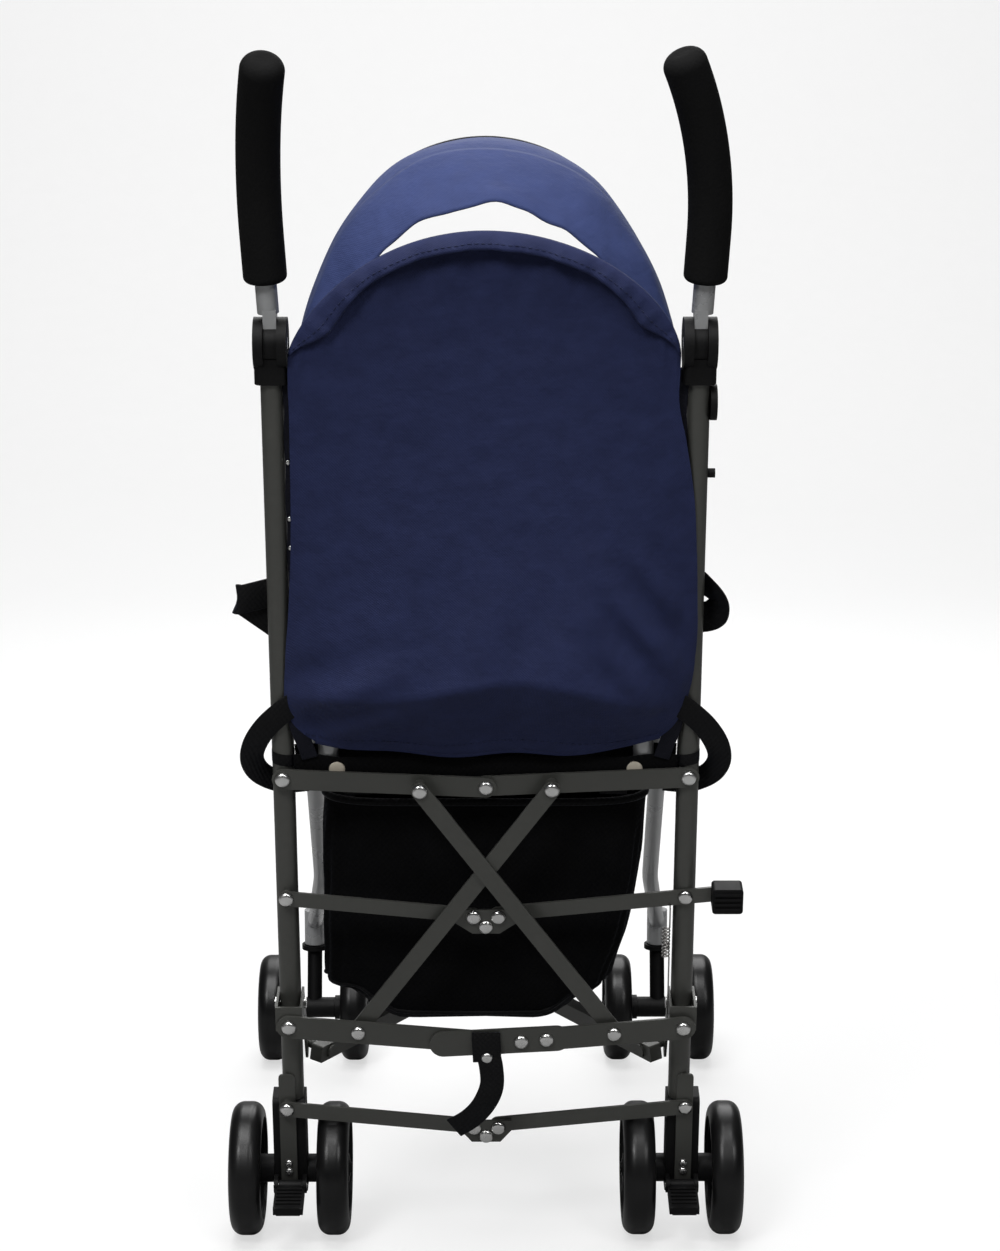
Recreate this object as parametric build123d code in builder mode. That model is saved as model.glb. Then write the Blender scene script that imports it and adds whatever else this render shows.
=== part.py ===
from build123d import *
import math
import os

os.makedirs("parts", exist_ok=True)

# Umbrella fold stroller, in millimetres. X to the right seen from behind, Y forward, Z up, floor at Z 0.
# Heights on the rear frame run up along the leaning posts from the rear axle. Depths run back from it.

# Stance
rear_axle_y = -140.6
wheel_base = 487.0
post_lean = 12.0

# Rear post, a flat oval tube
post_x = 176.0
post_width = 19.0
post_depth = 24.0
post_wall = 1.5
post_corner = 9.0
post_bottom = 80.0
hub_height = 794.0
hub_radius = 21.5
hub_width = 27.5
eye_width = 11.0
eye_radius = 17.0
hub_drop = 32.0
socket_depth = 13.0

# Handle
handle_radius = 9.0
handle_wall = 1.6
neck_end = 26.0
grip_start = 52.0
grip_straight = 38.0
grip_bend_radius = 300.0
grip_bend = 30.0
grip_radius = 18.0
grip_end_wall = 12.0
grip_round = 11.0
handle_splay = 3.0
twist_left = 24.0
twist_right = 62.0

# Flat bars of the rear linkage
bar_thickness = 2.5
bar_gap = 0.4
upper_height = 406.0
upper_drop = 8.0
upper_width = 18.6
upper_stud_reach = 119.0
middle_height = 289.5
middle_drop = 17.0
middle_width = 14.0
lower_height = 168.5
lower_drop = 16.0
lower_width = 22.0
lower_stud_reach = 62.0
bottom_height = 75.0
bottom_drop = 18.0
bottom_width = 14.8
cross_width = 15.4
cross_base = 25.0
plate_pitch = 22.0
plate_thickness = 2.2
overlap_left = 38.0
overlap_right = 63.0
overlap_width = 25.0

# Rivets and pins
rivet_radius = 3.0
running_gap = 0.06
collar_radius = 5.6
head_radius = 5.2
head_height = 1.9
low_head = 0.9
leg_pin_radius = 5.0
pedal_pin_radius = 2.5

# Foot pedal on the right middle link
pedal_arm = 30.0
pedal_length = 27.0
pedal_height = 24.0
pedal_depth = 18.0
pedal_ribs = 4
rib_width = 2.2
rib_height = 1.4

# Lock spring
spring_x = 159.5
spring_top = 262.0
spring_turns = 9
spring_pitch = 3.4
spring_radius = 3.2
spring_wire = 0.7
spring_depth = 19.2
spring_hook = 20.0
spring_tail = 55.0

# Sheet brackets
sheet = 2.2
sheet_gap = 0.3
bracket_low = 163.0
bracket_high = 187.0
bracket_front = 8.0
strap_width = 15.0
strap_shift = 5.0
strap_high = 108.0
strap_low = -8.0

# Front leg
leg_pivot_height = 522.5
leg_radius = 8.0
leg_wall = 1.5
leg_top_x = 155.0
knee_x = 168.0
knee_forward = 325.0
knee_z = 250.0
knee_radius = 260.0
leg_eye_width = 12.0
leg_eye_radius = 11.0

# Casters
caster_x = 187.0
caster_trail = 18.0
head_bottom = 124.0
head_top = 162.0
sleeve_radius = 11.0
swivel_radius = 5.0
swivel_depth = 30.0
crown_radius = 14.0
crown_height = 5.0
stem_radius = 8.0
fork_hub_radius = 11.0
fork_hub_width = 44.0

# Wheels
front_wheel_radius = 57.0
rear_wheel_radius = 61.0
tyre_width = 29.0
tyre_height = 14.0
tyre_round = 11.0
front_wheel_pitch = 88.0
rear_wheel_pitch = 80.0
rear_wheel_x = 180.0
rim_wall = 4.0
rim_width = 23.0
web_thickness = 6.0
web_windows = 6
wheel_hub_radius = 13.0
front_axle_radius = 4.0
rear_axle_radius = 5.0
axle_end = 1.8

# Rear wheel housing and brake pedal
housing_width = 30.0
housing_front = 16.0
housing_low = -20.0
plug_height = 25.0
plug_gap = 0.15
brake_height = -6.0
brake_depth = 20.2
brake_knuckle = 5.2
ear_radius = 7.0
ear_width = 3.8
brake_width = 27.0
brake_reach = 62.0
brake_thickness = 8.0
brake_ribs = 5
brake_rib_step = 5.6

# Back tube and seat rail
back_tube_x = 137.0
back_tube_radius = 9.0
back_tube_low = upper_height + 2.0
back_tube_high = hub_height - 59.0
tie_low = 565.0
tie_high = hub_height - 82.0
tie_radius = 5.0
rail_pivot_height = upper_height + 34.0
rail_pivot_depth = -22.0
rail_pin_radius = 4.0
rail_radius = 8.0
rail_length = 285.0
rail_rise = 6.0
lug_thickness = 5.0
cheek_thickness = 3.0
cheek_radius = 8.0

# Floor arm under the basket
floor_pin_x = 148.0
floor_pin_forward = 12.0
floor_pin_z = 172.0
floor_arm_turn = 30.0
floor_arm_length = 180.0
floor_arm_tail = 16.0
floor_arm_width = 12.0
floor_arm_height = 16.0
floor_pin_radius = 4.0
floor_rise = 0.977
floor_lean = -0.2077
floor_inward = 0.05

# Canopy
canopy_height = hub_height - 49.0
bow_radius = 4.0
bow_angle = 60.0
crown_turn = 55.0
crown_base = 127.0
bow_eye_radius = 9.0
bow_eye_width = 6.0
bow_stand = 8.5
canopy_pin_radius = 3.0
cloth = 2.0
canopy_foot = 60.0
canopy_rear_angle = 97.0
canopy_rear_base = 5.0
canopy_fullness = 12.0

# Seat, back and basket
soft_gap = 0.3
seat_width = 284.0
seat_depth = 262.0
seat_thickness = 34.0
seat_start = 18.0
pad_pull = 7.0
back_width = 284.0
back_low = upper_height + 46.0
back_high = hub_height + 6.0
back_thickness = 26.0
cover_half = 161.5
cover_flap = 181.0
flap_low = upper_height + 86.0
flap_high = hub_height - 94.0
flap_seam = 0.2
cover_bottom = upper_height + 25.0
cover_full = upper_height + 86.0
cover_shoulder = hub_height - 4.0
cover_crown = 97.0
cover_arch = 0.66
cover_depth = 12.6
cover_bulge = 36.0
cover_slack = 0.29
cover_edge = 2.0
cover_fold = 1.5
band_low = upper_height - 9.0
band_high = upper_height + 20.0
band_depth = -9.3
basket_top_z = 436.0
basket_floor_z = 200.0
basket_half_top = 145.0
basket_half_floor = 128.0
basket_back_depth = -9.3
basket_corner = 10.0
hanger_half = 118.0
hanger_width = 24.0
basket_reach_top = 130.0
basket_reach_floor = 215.0

# Webbing and harness
webbing = 2.0
loop_reach = 27.0
loop_high = 588.0
loop_low = 532.0
sling_loop_high = upper_height + 77.0
sling_loop_mid = upper_height + 20.0
sling_loop_low = upper_height - 22.0
sling_loop_width = 22.0
closure_width = 24.0
closure_drop = 62.0
closure_swing = 30.0
shoulder_x = 52.0
shoulder_width = 26.0
buckle_width = 44.0
buckle_length = 34.0
buckle_height = 13.0

# Accessory cap and stud on the right post
cap_height = hub_height - 51.0
cap_radius = 15.0
cap_thickness = 5.5
stud_height = hub_height - 113.0
stud_radius = 4.0
stud_length = 6.0

# Directions of the leaning rear frame
lean = math.radians(post_lean)
up_post = Vector(0, -math.sin(lean), math.cos(lean))
rear = Plane(
    origin=(0, rear_axle_y, rear_wheel_radius),
    x_dir=(1, 0, 0),
    z_dir=(0, -math.cos(lean), -math.sin(lean)),
)
post_face = post_depth / 2
sides = (("left", -1), ("right", 1))


def spot(x, height, depth=0.0):
    return rear.from_local_coords(Vector(x, height, depth))


def across(x, height=0.0, depth=0.0):
    # A plane square to X whose axes run up the post and back from it
    return Plane(origin=spot(x, height, depth), x_dir=up_post, z_dir=(1, 0, 0))


def up_plane(x, height):
    return Plane(origin=spot(x, height), x_dir=(1, 0, 0), z_dir=up_post)


def layer(index):
    return post_face + bar_gap + index * (bar_thickness + bar_gap)


def cross_layer(index):
    return cross_base + index * (bar_thickness + bar_gap)


def write(piece, name):
    piece.part.label = name
    export_step(piece.part, f"parts/{name}.step")


def bar_outline(start, end, width):
    run = Vector(*end) - Vector(*start)
    middle = (Vector(*start) + Vector(*end)) / 2
    with Locations((middle.X, middle.Y)):
        SlotCenterToCenter(run.length, width, rotation=math.degrees(math.atan2(run.Y, run.X)))


def along(start, end, distance):
    run = (Vector(*end) - Vector(*start)).normalized()
    place = Vector(*start) + run * distance
    return (place.X, place.Y)


def disc(plane, place, radius, thickness):
    with BuildSketch(plane) as round_face:
        with Locations(place):
            Circle(radius)
    extrude(to_extrude=round_face.sketch, amount=thickness)


def bore(plane, place, radius, depth):
    with BuildSketch(plane) as round_face:
        with Locations(place):
            Circle(radius)
    extrude(to_extrude=round_face.sketch, amount=depth, both=True, mode=Mode.SUBTRACT)


# Places shared by several pieces
def upper_pivot(s):
    return (s * post_x, upper_height)


def upper_centre():
    return (0.0, upper_height - upper_drop)


def upper_stud(s):
    return along(upper_pivot(s), upper_centre(), upper_stud_reach)


def middle_pivot(s):
    return (s * post_x, middle_height)


def middle_inner(s):
    return (s * plate_pitch / 2, middle_height - middle_drop)


def lower_pivot(s):
    return (s * post_x, lower_height)


def lower_centre():
    return (0.0, lower_height - lower_drop)


def lower_stud(s):
    return along(lower_pivot(s), lower_centre(), lower_stud_reach)


def bottom_pivot(s):
    return (s * (post_x + strap_shift), bottom_height)


def bottom_inner(s):
    return (s * plate_pitch / 2, bottom_height - bottom_drop)


def link_layer(s):
    return layer(0) if s > 0 else layer(1)


def lower_layer(s):
    return cross_layer(2) if s < 0 else cross_layer(3)


strap_face = post_face + 0.2 + sheet
web_face = cross_layer(2) - bar_gap
post_inner = post_x - post_width / 2
post_outer = post_x + post_width / 2
bow_eye_x = post_inner - bow_stand - bow_eye_width
bow_foot_x = bow_eye_x + bow_eye_width / 2


def bottom_layer(s):
    first = strap_face + bar_gap
    return first if s > 0 else first + bar_thickness + bar_gap


# Rear posts
for side, s in sides:
    post_length = hub_height - hub_drop + socket_depth - post_bottom
    with BuildPart() as post:
        with BuildSketch(up_plane(s * post_x, post_bottom)):
            RectangleRounded(post_width, post_depth, post_corner)
            inner_corner = post_corner - post_wall
            RectangleRounded(
                post_width - 2 * post_wall, post_depth - 2 * post_wall, inner_corner, mode=Mode.SUBTRACT
            )
        extrude(amount=post_length)
        hole = rivet_radius + running_gap
        for place in (upper_pivot(s), middle_pivot(s)):
            bore(rear.offset(post_face), place, hole, 2 * post_wall + 1.5)
        bracket_mid = (bracket_low + bracket_high) / 2
        bore(across(s * post_x, bracket_mid), (0, 0), hole, post_width)
        bore(across(s * post_inner, leg_pivot_height), (0, 0), leg_pin_radius + running_gap, 3 * post_wall)
        bore(across(s * post_inner, canopy_height), (0, 0), canopy_pin_radius + running_gap, 3 * post_wall)
    write(post, f"post_{side}")

# Handle hubs: two discs with a gap for the handle eye, over a socket for the post
for side, s in sides:
    cheek = (hub_width - eye_width) / 2 - 0.25
    with BuildPart() as handle_hub:
        for edge in (-hub_width / 2, hub_width / 2 - cheek):
            disc(across(s * post_x + edge, hub_height), (0, 0), hub_radius, cheek)
        with BuildSketch(up_plane(s * post_x, hub_height - hub_drop)):
            RectangleRounded(hub_width, post_depth + 5.0, 6.0)
        extrude(amount=hub_drop - eye_radius * 0.5)
        with BuildSketch(across(s * post_x, hub_height)):
            Circle(eye_radius + 0.6)
        extrude(amount=eye_width / 2 + 0.25, both=True, mode=Mode.SUBTRACT)
        with BuildSketch(up_plane(s * post_x, hub_height - hub_drop - 1.0)):
            RectangleRounded(post_width + 2 * plug_gap, post_depth + 2 * plug_gap, post_corner)
        extrude(amount=socket_depth + 1.3, mode=Mode.SUBTRACT)
        bore(across(s * post_x, hub_height), (0, 0), leg_pin_radius + running_gap, hub_width)
    write(handle_hub, f"handle_hub_{side}")


def handle_plane(s):
    # The handle splays outward from its hub, and its bend turns in and back
    twist = math.radians(twist_left if s < 0 else twist_right)
    splay = math.radians(handle_splay)
    upward = up_post * math.cos(splay) + Vector(s * math.sin(splay), 0, 0)
    outward = Vector(s * math.cos(splay), 0, 0) - up_post * math.sin(splay)
    bend = rear.z_dir * math.cos(twist) - outward * math.sin(twist)
    return Plane(origin=spot(s * post_x, hub_height), x_dir=bend, z_dir=bend.cross(upward))


def handle_section(s, rise):
    # The plane square to the straight stretch of the handle
    plane = handle_plane(s)
    return Plane(origin=plane.from_local_coords(Vector(0, rise, 0)), x_dir=plane.x_dir, z_dir=plane.y_dir)


def handle_run(start, trim):
    # A straight stretch and a long bend, both in the plane of the handle
    bend_start = grip_start + grip_straight
    Line((0, start), (0, bend_start))
    CenterArc((grip_bend_radius, bend_start), grip_bend_radius, 180, -(grip_bend - trim))


# Handle tubes with their eyes, and foam grips
for side, s in sides:
    grip_trim = math.degrees(grip_end_wall / grip_bend_radius)
    with BuildPart() as handle_tube:
        with BuildLine(handle_plane(s)) as tube_path:
            handle_run(neck_end, grip_trim)
        with BuildSketch(handle_section(s, neck_end)):
            Circle(handle_radius)
            Circle(handle_radius - handle_wall, mode=Mode.SUBTRACT)
        sweep(path=tube_path.wire())
        with BuildSketch(across(s * post_x, hub_height)):
            Circle(eye_radius)
            with Locations((neck_end / 2 + 2.0, 0)):
                Rectangle(neck_end + 4.0, 2 * handle_radius)
        extrude(amount=eye_width / 2, both=True)
        bore(across(s * post_x, hub_height), (0, 0), leg_pin_radius + running_gap, eye_width)
    write(handle_tube, f"handle_tube_{side}")

    with BuildPart() as handle_grip:
        with BuildLine(handle_plane(s)) as grip_path:
            handle_run(grip_start, 0.0)
        with BuildSketch(handle_section(s, grip_start)):
            Circle(grip_radius)
        sweep(path=grip_path.wire())
        rims = handle_grip.edges().filter_by(GeomType.CIRCLE).group_by(SortBy.RADIUS)[0]
        fillet(rims.sort_by(Axis.Z)[-1], grip_round)
        fillet(handle_grip.edges().filter_by(GeomType.CIRCLE).sort_by(Axis.Z)[0], grip_round / 2)
        with BuildLine(handle_plane(s)) as bore_path:
            handle_run(grip_start - 1.0, grip_trim)
        with BuildSketch(handle_section(s, grip_start - 1.0)):
            Circle(handle_radius + 0.1)
        sweep(path=bore_path.wire(), mode=Mode.SUBTRACT)
    write(handle_grip, f"handle_grip_{side}")

# Upper links, each with the stud that carries a crossing bar
for side, s in sides:
    depth = link_layer(s)
    face = depth + bar_thickness
    cross_depth = cross_layer(0) if s > 0 else cross_layer(1)
    with BuildPart() as upper_link:
        with BuildSketch(rear.offset(depth)):
            bar_outline(upper_pivot(s), upper_centre(), upper_width)
            with Locations(upper_pivot(s)):
                Circle(rivet_radius + running_gap, mode=Mode.SUBTRACT)
        extrude(amount=bar_thickness)
        disc(rear.offset(face), upper_stud(s), collar_radius, cross_depth - bar_gap - face)
        disc(rear.offset(face), upper_stud(s), rivet_radius, cross_depth + bar_thickness + bar_gap - face)
        disc(rear.offset(cross_depth + bar_thickness + bar_gap), upper_stud(s), head_radius, head_height)
        if s < 0:
            disc(rear.offset(face), upper_centre(), head_radius, head_height)
    write(upper_link, f"upper_link_{side}")

# Crossing bars between the upper and lower links
for side, s in sides:
    cross_depth = cross_layer(0) if s > 0 else cross_layer(1)
    with BuildPart() as cross_bar:
        with BuildSketch(rear.offset(cross_depth)):
            bar_outline(upper_stud(s), lower_stud(-s), cross_width)
            with Locations(upper_stud(s)):
                Circle(rivet_radius + running_gap, mode=Mode.SUBTRACT)
        extrude(amount=bar_thickness)
    write(cross_bar, f"cross_bar_{side}")

# Middle links. The right one runs past its post to carry the foot pedal.
pedal_end = along(middle_inner(1), middle_pivot(1), math.dist(middle_inner(1), middle_pivot(1)) + pedal_arm)
for side, s in sides:
    outer_end = pedal_end if s > 0 else middle_pivot(s)
    with BuildPart() as middle_link:
        with BuildSketch(rear.offset(link_layer(s))):
            bar_outline(middle_inner(s), outer_end, middle_width)
            with Locations(middle_pivot(s)):
                Circle(rivet_radius + running_gap, mode=Mode.SUBTRACT)
            if s > 0:
                with Locations((spring_x + spring_radius, spring_top + spring_hook)):
                    Circle(spring_wire + 0.3, mode=Mode.SUBTRACT)
        extrude(amount=bar_thickness)
    write(middle_link, f"middle_link_{side}")

# Foot pedal, a ribbed block slotted over the end of the bar
with BuildPart() as fold_pedal:
    pedal_base = link_layer(1) - bar_gap + 0.2
    with BuildSketch(rear.offset(pedal_base)):
        with Locations((pedal_end[0] + pedal_length / 2 - middle_width / 2, pedal_end[1])):
            RectangleRounded(pedal_length, pedal_height, 3.0)
    extrude(amount=pedal_depth)
    with BuildSketch(rear.offset(pedal_base + pedal_depth)):
        with Locations((pedal_end[0] + pedal_length / 2 - middle_width / 2, pedal_end[1])):
            with GridLocations(1.0, pedal_height / (pedal_ribs + 1), 1, pedal_ribs):
                Rectangle(pedal_length - 4.0, rib_width)
    extrude(amount=rib_height)
    with BuildSketch(rear.offset(link_layer(1) - 0.1)):
        bar_outline(middle_inner(1), pedal_end, middle_width + 0.2)
    extrude(amount=bar_thickness + 0.2, mode=Mode.SUBTRACT)
write(fold_pedal, "fold_pedal")


def centre_plate(rise, half, foot_half, drop, depth, height):
    # A low trapezium that joins the inner ends of a pair of links, with three rivet heads
    with BuildPart() as plate:
        with BuildSketch(rear.offset(depth)):
            with BuildLine():
                Polyline(
                    (-half, rise + height),
                    (half, rise + height),
                    (half, rise - drop * 0.2),
                    (foot_half, rise - drop),
                    (-foot_half, rise - drop),
                    (-half, rise - drop * 0.2),
                    close=True,
                )
            make_face()
        extrude(amount=plate_thickness)
        for place in ((-plate_pitch / 2, rise), (plate_pitch / 2, rise), (0, rise - drop * 0.58)):
            disc(rear.offset(depth + plate_thickness), place, head_radius, low_head)
    return plate


middle_plate = centre_plate(
    middle_height - middle_drop, 31.0, 12.0, 16.5, layer(1) + bar_thickness, middle_width / 2
)
write(middle_plate, "middle_plate")
bottom_plate = centre_plate(
    bottom_height - bottom_drop, 23.0, 13.0, 15.0, bottom_layer(-1) + bar_thickness, bottom_width / 2
)
write(bottom_plate, "bottom_plate")

# Lower links. The right one carries the wide overlap plate at the centre.
for side, s in sides:
    with BuildPart() as lower_link:
        with BuildSketch(rear.offset(lower_layer(s))):
            bar_outline(lower_pivot(s), lower_centre(), lower_width)
            if s > 0:
                overlap_start = along(lower_centre(), lower_pivot(1), overlap_right)
                bar_outline(overlap_start, (-overlap_left, lower_centre()[1]), overlap_width)
            with Locations(lower_pivot(s)):
                Circle(rivet_radius + running_gap, mode=Mode.SUBTRACT)
        extrude(amount=bar_thickness)
        face = rear.offset(lower_layer(s) + bar_thickness)
        if s > 0:
            for reach in (0.5, 0.86):
                disc(face, along(lower_centre(), lower_pivot(1), overlap_right * reach), head_radius, head_height)
        disc(face, lower_stud(s), head_radius, low_head if s < 0 else head_height)
    write(lower_link, f"lower_link_{side}")

# Bottom links
for side, s in sides:
    with BuildPart() as bottom_link:
        with BuildSketch(rear.offset(bottom_layer(s))):
            bar_outline(bottom_inner(s), bottom_pivot(s), bottom_width)
            with Locations(bottom_pivot(s)):
                Circle(rivet_radius + running_gap, mode=Mode.SUBTRACT)
        extrude(amount=bar_thickness)
    write(bottom_link, f"bottom_link_{side}")


def floor_frame(s):
    # The floor arm's direction, and the pin it swings on from lying forward to standing along the post
    turn = math.radians(floor_arm_turn)
    forward = Vector(-s * math.sin(turn), math.cos(turn), 0)
    folded = Vector(-s * floor_inward, floor_lean, floor_rise).normalized()
    pin = forward.cross(folded).normalized()
    pin_spot = Vector(s * floor_pin_x, rear_axle_y + floor_pin_forward, floor_pin_z)
    return Plane(origin=pin_spot, x_dir=forward, z_dir=pin)


# Sheet brackets: a channel round the post that carries the lower link, with an arm down to the floor arm's pin,
# and the strap over the wheel housing that carries the bottom link
for side, s in sides:
    outer = post_width / 2 + sheet_gap
    pin_plane = floor_frame(s)
    pin_local = rear.to_local_coords(pin_plane.origin)
    inner_face = s * (post_x - outer - sheet / 2)
    bracket_mid = (bracket_low + bracket_high) / 2
    bracket_rise = bracket_high - bracket_low
    with BuildPart() as brackets:
        with BuildSketch(rear.offset(web_face)):
            with Locations((s * post_x, bracket_mid)):
                Rectangle(2 * (outer + sheet), bracket_rise)
            with Locations(lower_pivot(s)):
                Circle(rivet_radius + running_gap, mode=Mode.SUBTRACT)
        extrude(amount=-sheet)
        flange_depth = web_face + bracket_front
        for flange_x in (inner_face, s * (post_x + outer + sheet / 2)):
            with BuildSketch(across(flange_x, bracket_mid, web_face - flange_depth / 2)):
                Rectangle(bracket_rise, flange_depth)
            extrude(amount=sheet / 2, both=True)
        with BuildSketch(across(inner_face)):
            with Locations((pin_local.Y, pin_local.Z)):
                Circle(floor_pin_radius + 4.0)
            with Locations((bracket_low + 9.0, -bracket_front / 2)):
                Rectangle(18.0, bracket_front)
            make_hull()
        extrude(amount=sheet / 2, both=True)
        bore(across(s * post_x, bracket_mid), (0, 0), rivet_radius + running_gap, hub_width)
        pin_length = abs((inner_face - pin_plane.origin.X) / pin_plane.z_dir.X)
        pin_way = 1 if pin_plane.z_dir.X * s > 0 else -1
        pin_tail = floor_arm_width / 2 + 1.5
        disc(pin_plane.offset(-pin_way * pin_tail), (0, 0), floor_pin_radius, pin_way * (pin_length + pin_tail))
        disc(pin_plane.offset(-pin_way * (floor_arm_width / 2 + 0.3)), (0, 0), head_radius + 1, -pin_way * 2.0)
        collar_start = floor_arm_width / 2 + 0.3
        disc(pin_plane.offset(pin_way * collar_start), (0, 0), head_radius + 1, pin_way * 2.0)
        with BuildSketch(rear.offset(strap_face)):
            strap_mid = (strap_high + strap_low) / 2
            with Locations((s * (post_x + strap_shift), strap_mid)):
                RectangleRounded(strap_width, strap_high - strap_low, 4.0)
            with Locations(bottom_pivot(s)):
                Circle(rivet_radius + running_gap, mode=Mode.SUBTRACT)
        extrude(amount=-sheet)
        for lift in (14.0, 5.5):
            disc(rear.offset(strap_face), (s * (post_x + strap_shift), lift), 3.4, 1.4)
    write(brackets, f"brackets_{side}")

# Floor arms
for side, s in sides:
    with BuildPart() as floor_arm:
        with BuildSketch(floor_frame(s)):
            arm_mid = (floor_arm_length - floor_arm_tail) / 2
            with Locations((arm_mid, 0)):
                RectangleRounded(floor_arm_length + floor_arm_tail, floor_arm_height, 2.0)
            Circle(floor_pin_radius + running_gap, mode=Mode.SUBTRACT)
        extrude(amount=floor_arm_width / 2, both=True)
    write(floor_arm, f"floor_arm_{side}")

# Rear wheel housings, plugged into the posts, with ears for the brake pedal
for side, s in sides:
    with BuildPart() as rear_housing:
        housing_top = post_bottom - 0.2
        with BuildSketch(across(s * rear_wheel_x, (housing_top + housing_low) / 2, (post_face - housing_front) / 2)):
            RectangleRounded(housing_top - housing_low, post_face + housing_front, 6.0)
        extrude(amount=housing_width / 2, both=True)
        with BuildSketch(up_plane(s * post_x, housing_top - 1.0)):
            plug_trim = 2 * (post_wall + plug_gap)
            RectangleRounded(post_width - plug_trim, post_depth - plug_trim, post_corner - post_wall - plug_gap)
        extrude(amount=plug_height + 1.0)
        for edge in (-housing_width / 2, housing_width / 2 - ear_width):
            with BuildSketch(across(s * rear_wheel_x + edge, brake_height)):
                with Locations((0, brake_depth)):
                    Circle(ear_radius)
                with Locations((0, post_face - 3.0)):
                    Rectangle(2 * ear_radius, 2.0)
                make_hull()
            extrude(amount=ear_width)
        bore(across(s * rear_wheel_x), (0, 0), rear_axle_radius + running_gap, housing_width)
        pin_hole = pedal_pin_radius + running_gap
        bore(across(s * rear_wheel_x, brake_height, brake_depth), (0, 0), pin_hole, housing_width)
        bore(rear.offset(post_face), bottom_pivot(s), rivet_radius + running_gap, 9.0)
    write(rear_housing, f"rear_housing_{side}")

# Brake pedals
for side, s in sides:
    knuckle_half = housing_width / 2 - ear_width - 0.3
    with BuildPart() as brake_pedal:
        disc(across(s * rear_wheel_x - knuckle_half, brake_height, brake_depth), (0, 0), brake_knuckle, 2 * knuckle_half)
        with BuildSketch(across(s * rear_wheel_x, brake_height)):
            with Locations((-1.0, (brake_depth + brake_reach) / 2)):
                Rectangle(brake_thickness, brake_reach - brake_depth)
        extrude(amount=knuckle_half, both=True)
        wide_start = brake_depth + ear_radius + 1.0
        with BuildSketch(across(s * rear_wheel_x, brake_height)):
            with Locations((-1.0, (wide_start + brake_reach) / 2)):
                RectangleRounded(brake_thickness, brake_reach - wide_start, 2.0)
        extrude(amount=brake_width / 2, both=True)
        for rib in range(brake_ribs):
            rib_depth = wide_start + 4.0 + rib * brake_rib_step
            with BuildSketch(across(s * rear_wheel_x, brake_height + brake_thickness / 2 - 1.0)):
                with Locations((rib_height / 2, rib_depth)):
                    Rectangle(rib_height, rib_width)
            extrude(amount=brake_width / 2 - 2.0, both=True)
        bore(across(s * rear_wheel_x, brake_height, brake_depth), (0, 0), pedal_pin_radius + running_gap, 2 * brake_width)
    write(brake_pedal, f"brake_pedal_{side}")

# Rivets and pins of each side frame
for side, s in sides:
    with BuildPart() as rivets:
        for place, seat, bar in (
            (upper_pivot(s), post_face, link_layer(s)),
            (middle_pivot(s), post_face, link_layer(s)),
            (lower_pivot(s), web_face, lower_layer(s)),
            (bottom_pivot(s), strap_face, bottom_layer(s)),
        ):
            top = bar + bar_thickness + bar_gap
            disc(rear.offset(seat - post_wall - 4.0), place, rivet_radius, top - seat + post_wall + 4.0)
            if bar - seat > 2 * bar_gap:
                disc(rear.offset(seat + 0.1), place, collar_radius, bar - seat - 0.3)
            disc(rear.offset(top), place, head_radius, head_height)
        pin_half = post_width / 2 + sheet_gap + sheet + 0.2
        disc(across(s * post_x - pin_half, bracket_mid), (0, 0), rivet_radius, 2 * pin_half)
        for edge in (-pin_half - head_height, pin_half):
            disc(across(s * post_x + edge, bracket_mid), (0, 0), head_radius, head_height)
        disc(across(s * post_x - hub_width / 2, hub_height), (0, 0), leg_pin_radius, hub_width)
        leg_face = leg_top_x - leg_eye_width / 2 - bar_gap
        disc(across(s * post_x, leg_pivot_height), (0, 0), leg_pin_radius, -s * (post_x - leg_face))
        spacer = post_inner - leg_top_x - leg_eye_width / 2 - 2 * 0.3
        disc(across(s * (post_inner - 0.3), leg_pivot_height), (0, 0), leg_pin_radius + 3, -s * spacer)
        disc(across(s * leg_face, leg_pivot_height), (0, 0), leg_pin_radius + 3, -s * head_height)
        disc(across(s * post_x, canopy_height), (0, 0), canopy_pin_radius, -s * (post_x - bow_eye_x + bar_gap))
        disc(across(s * (bow_eye_x - bar_gap), canopy_height), (0, 0), head_radius, -s * head_height)
        disc(across(s * (post_inner - 0.3), canopy_height), (0, 0), head_radius, -s * (bow_stand - 0.6))
        brake_half = housing_width / 2 + 0.5
        disc(across(s * rear_wheel_x - brake_half, brake_height, brake_depth), (0, 0), pedal_pin_radius, 2 * brake_half)
    write(rivets, f"rivets_{side}")

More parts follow.
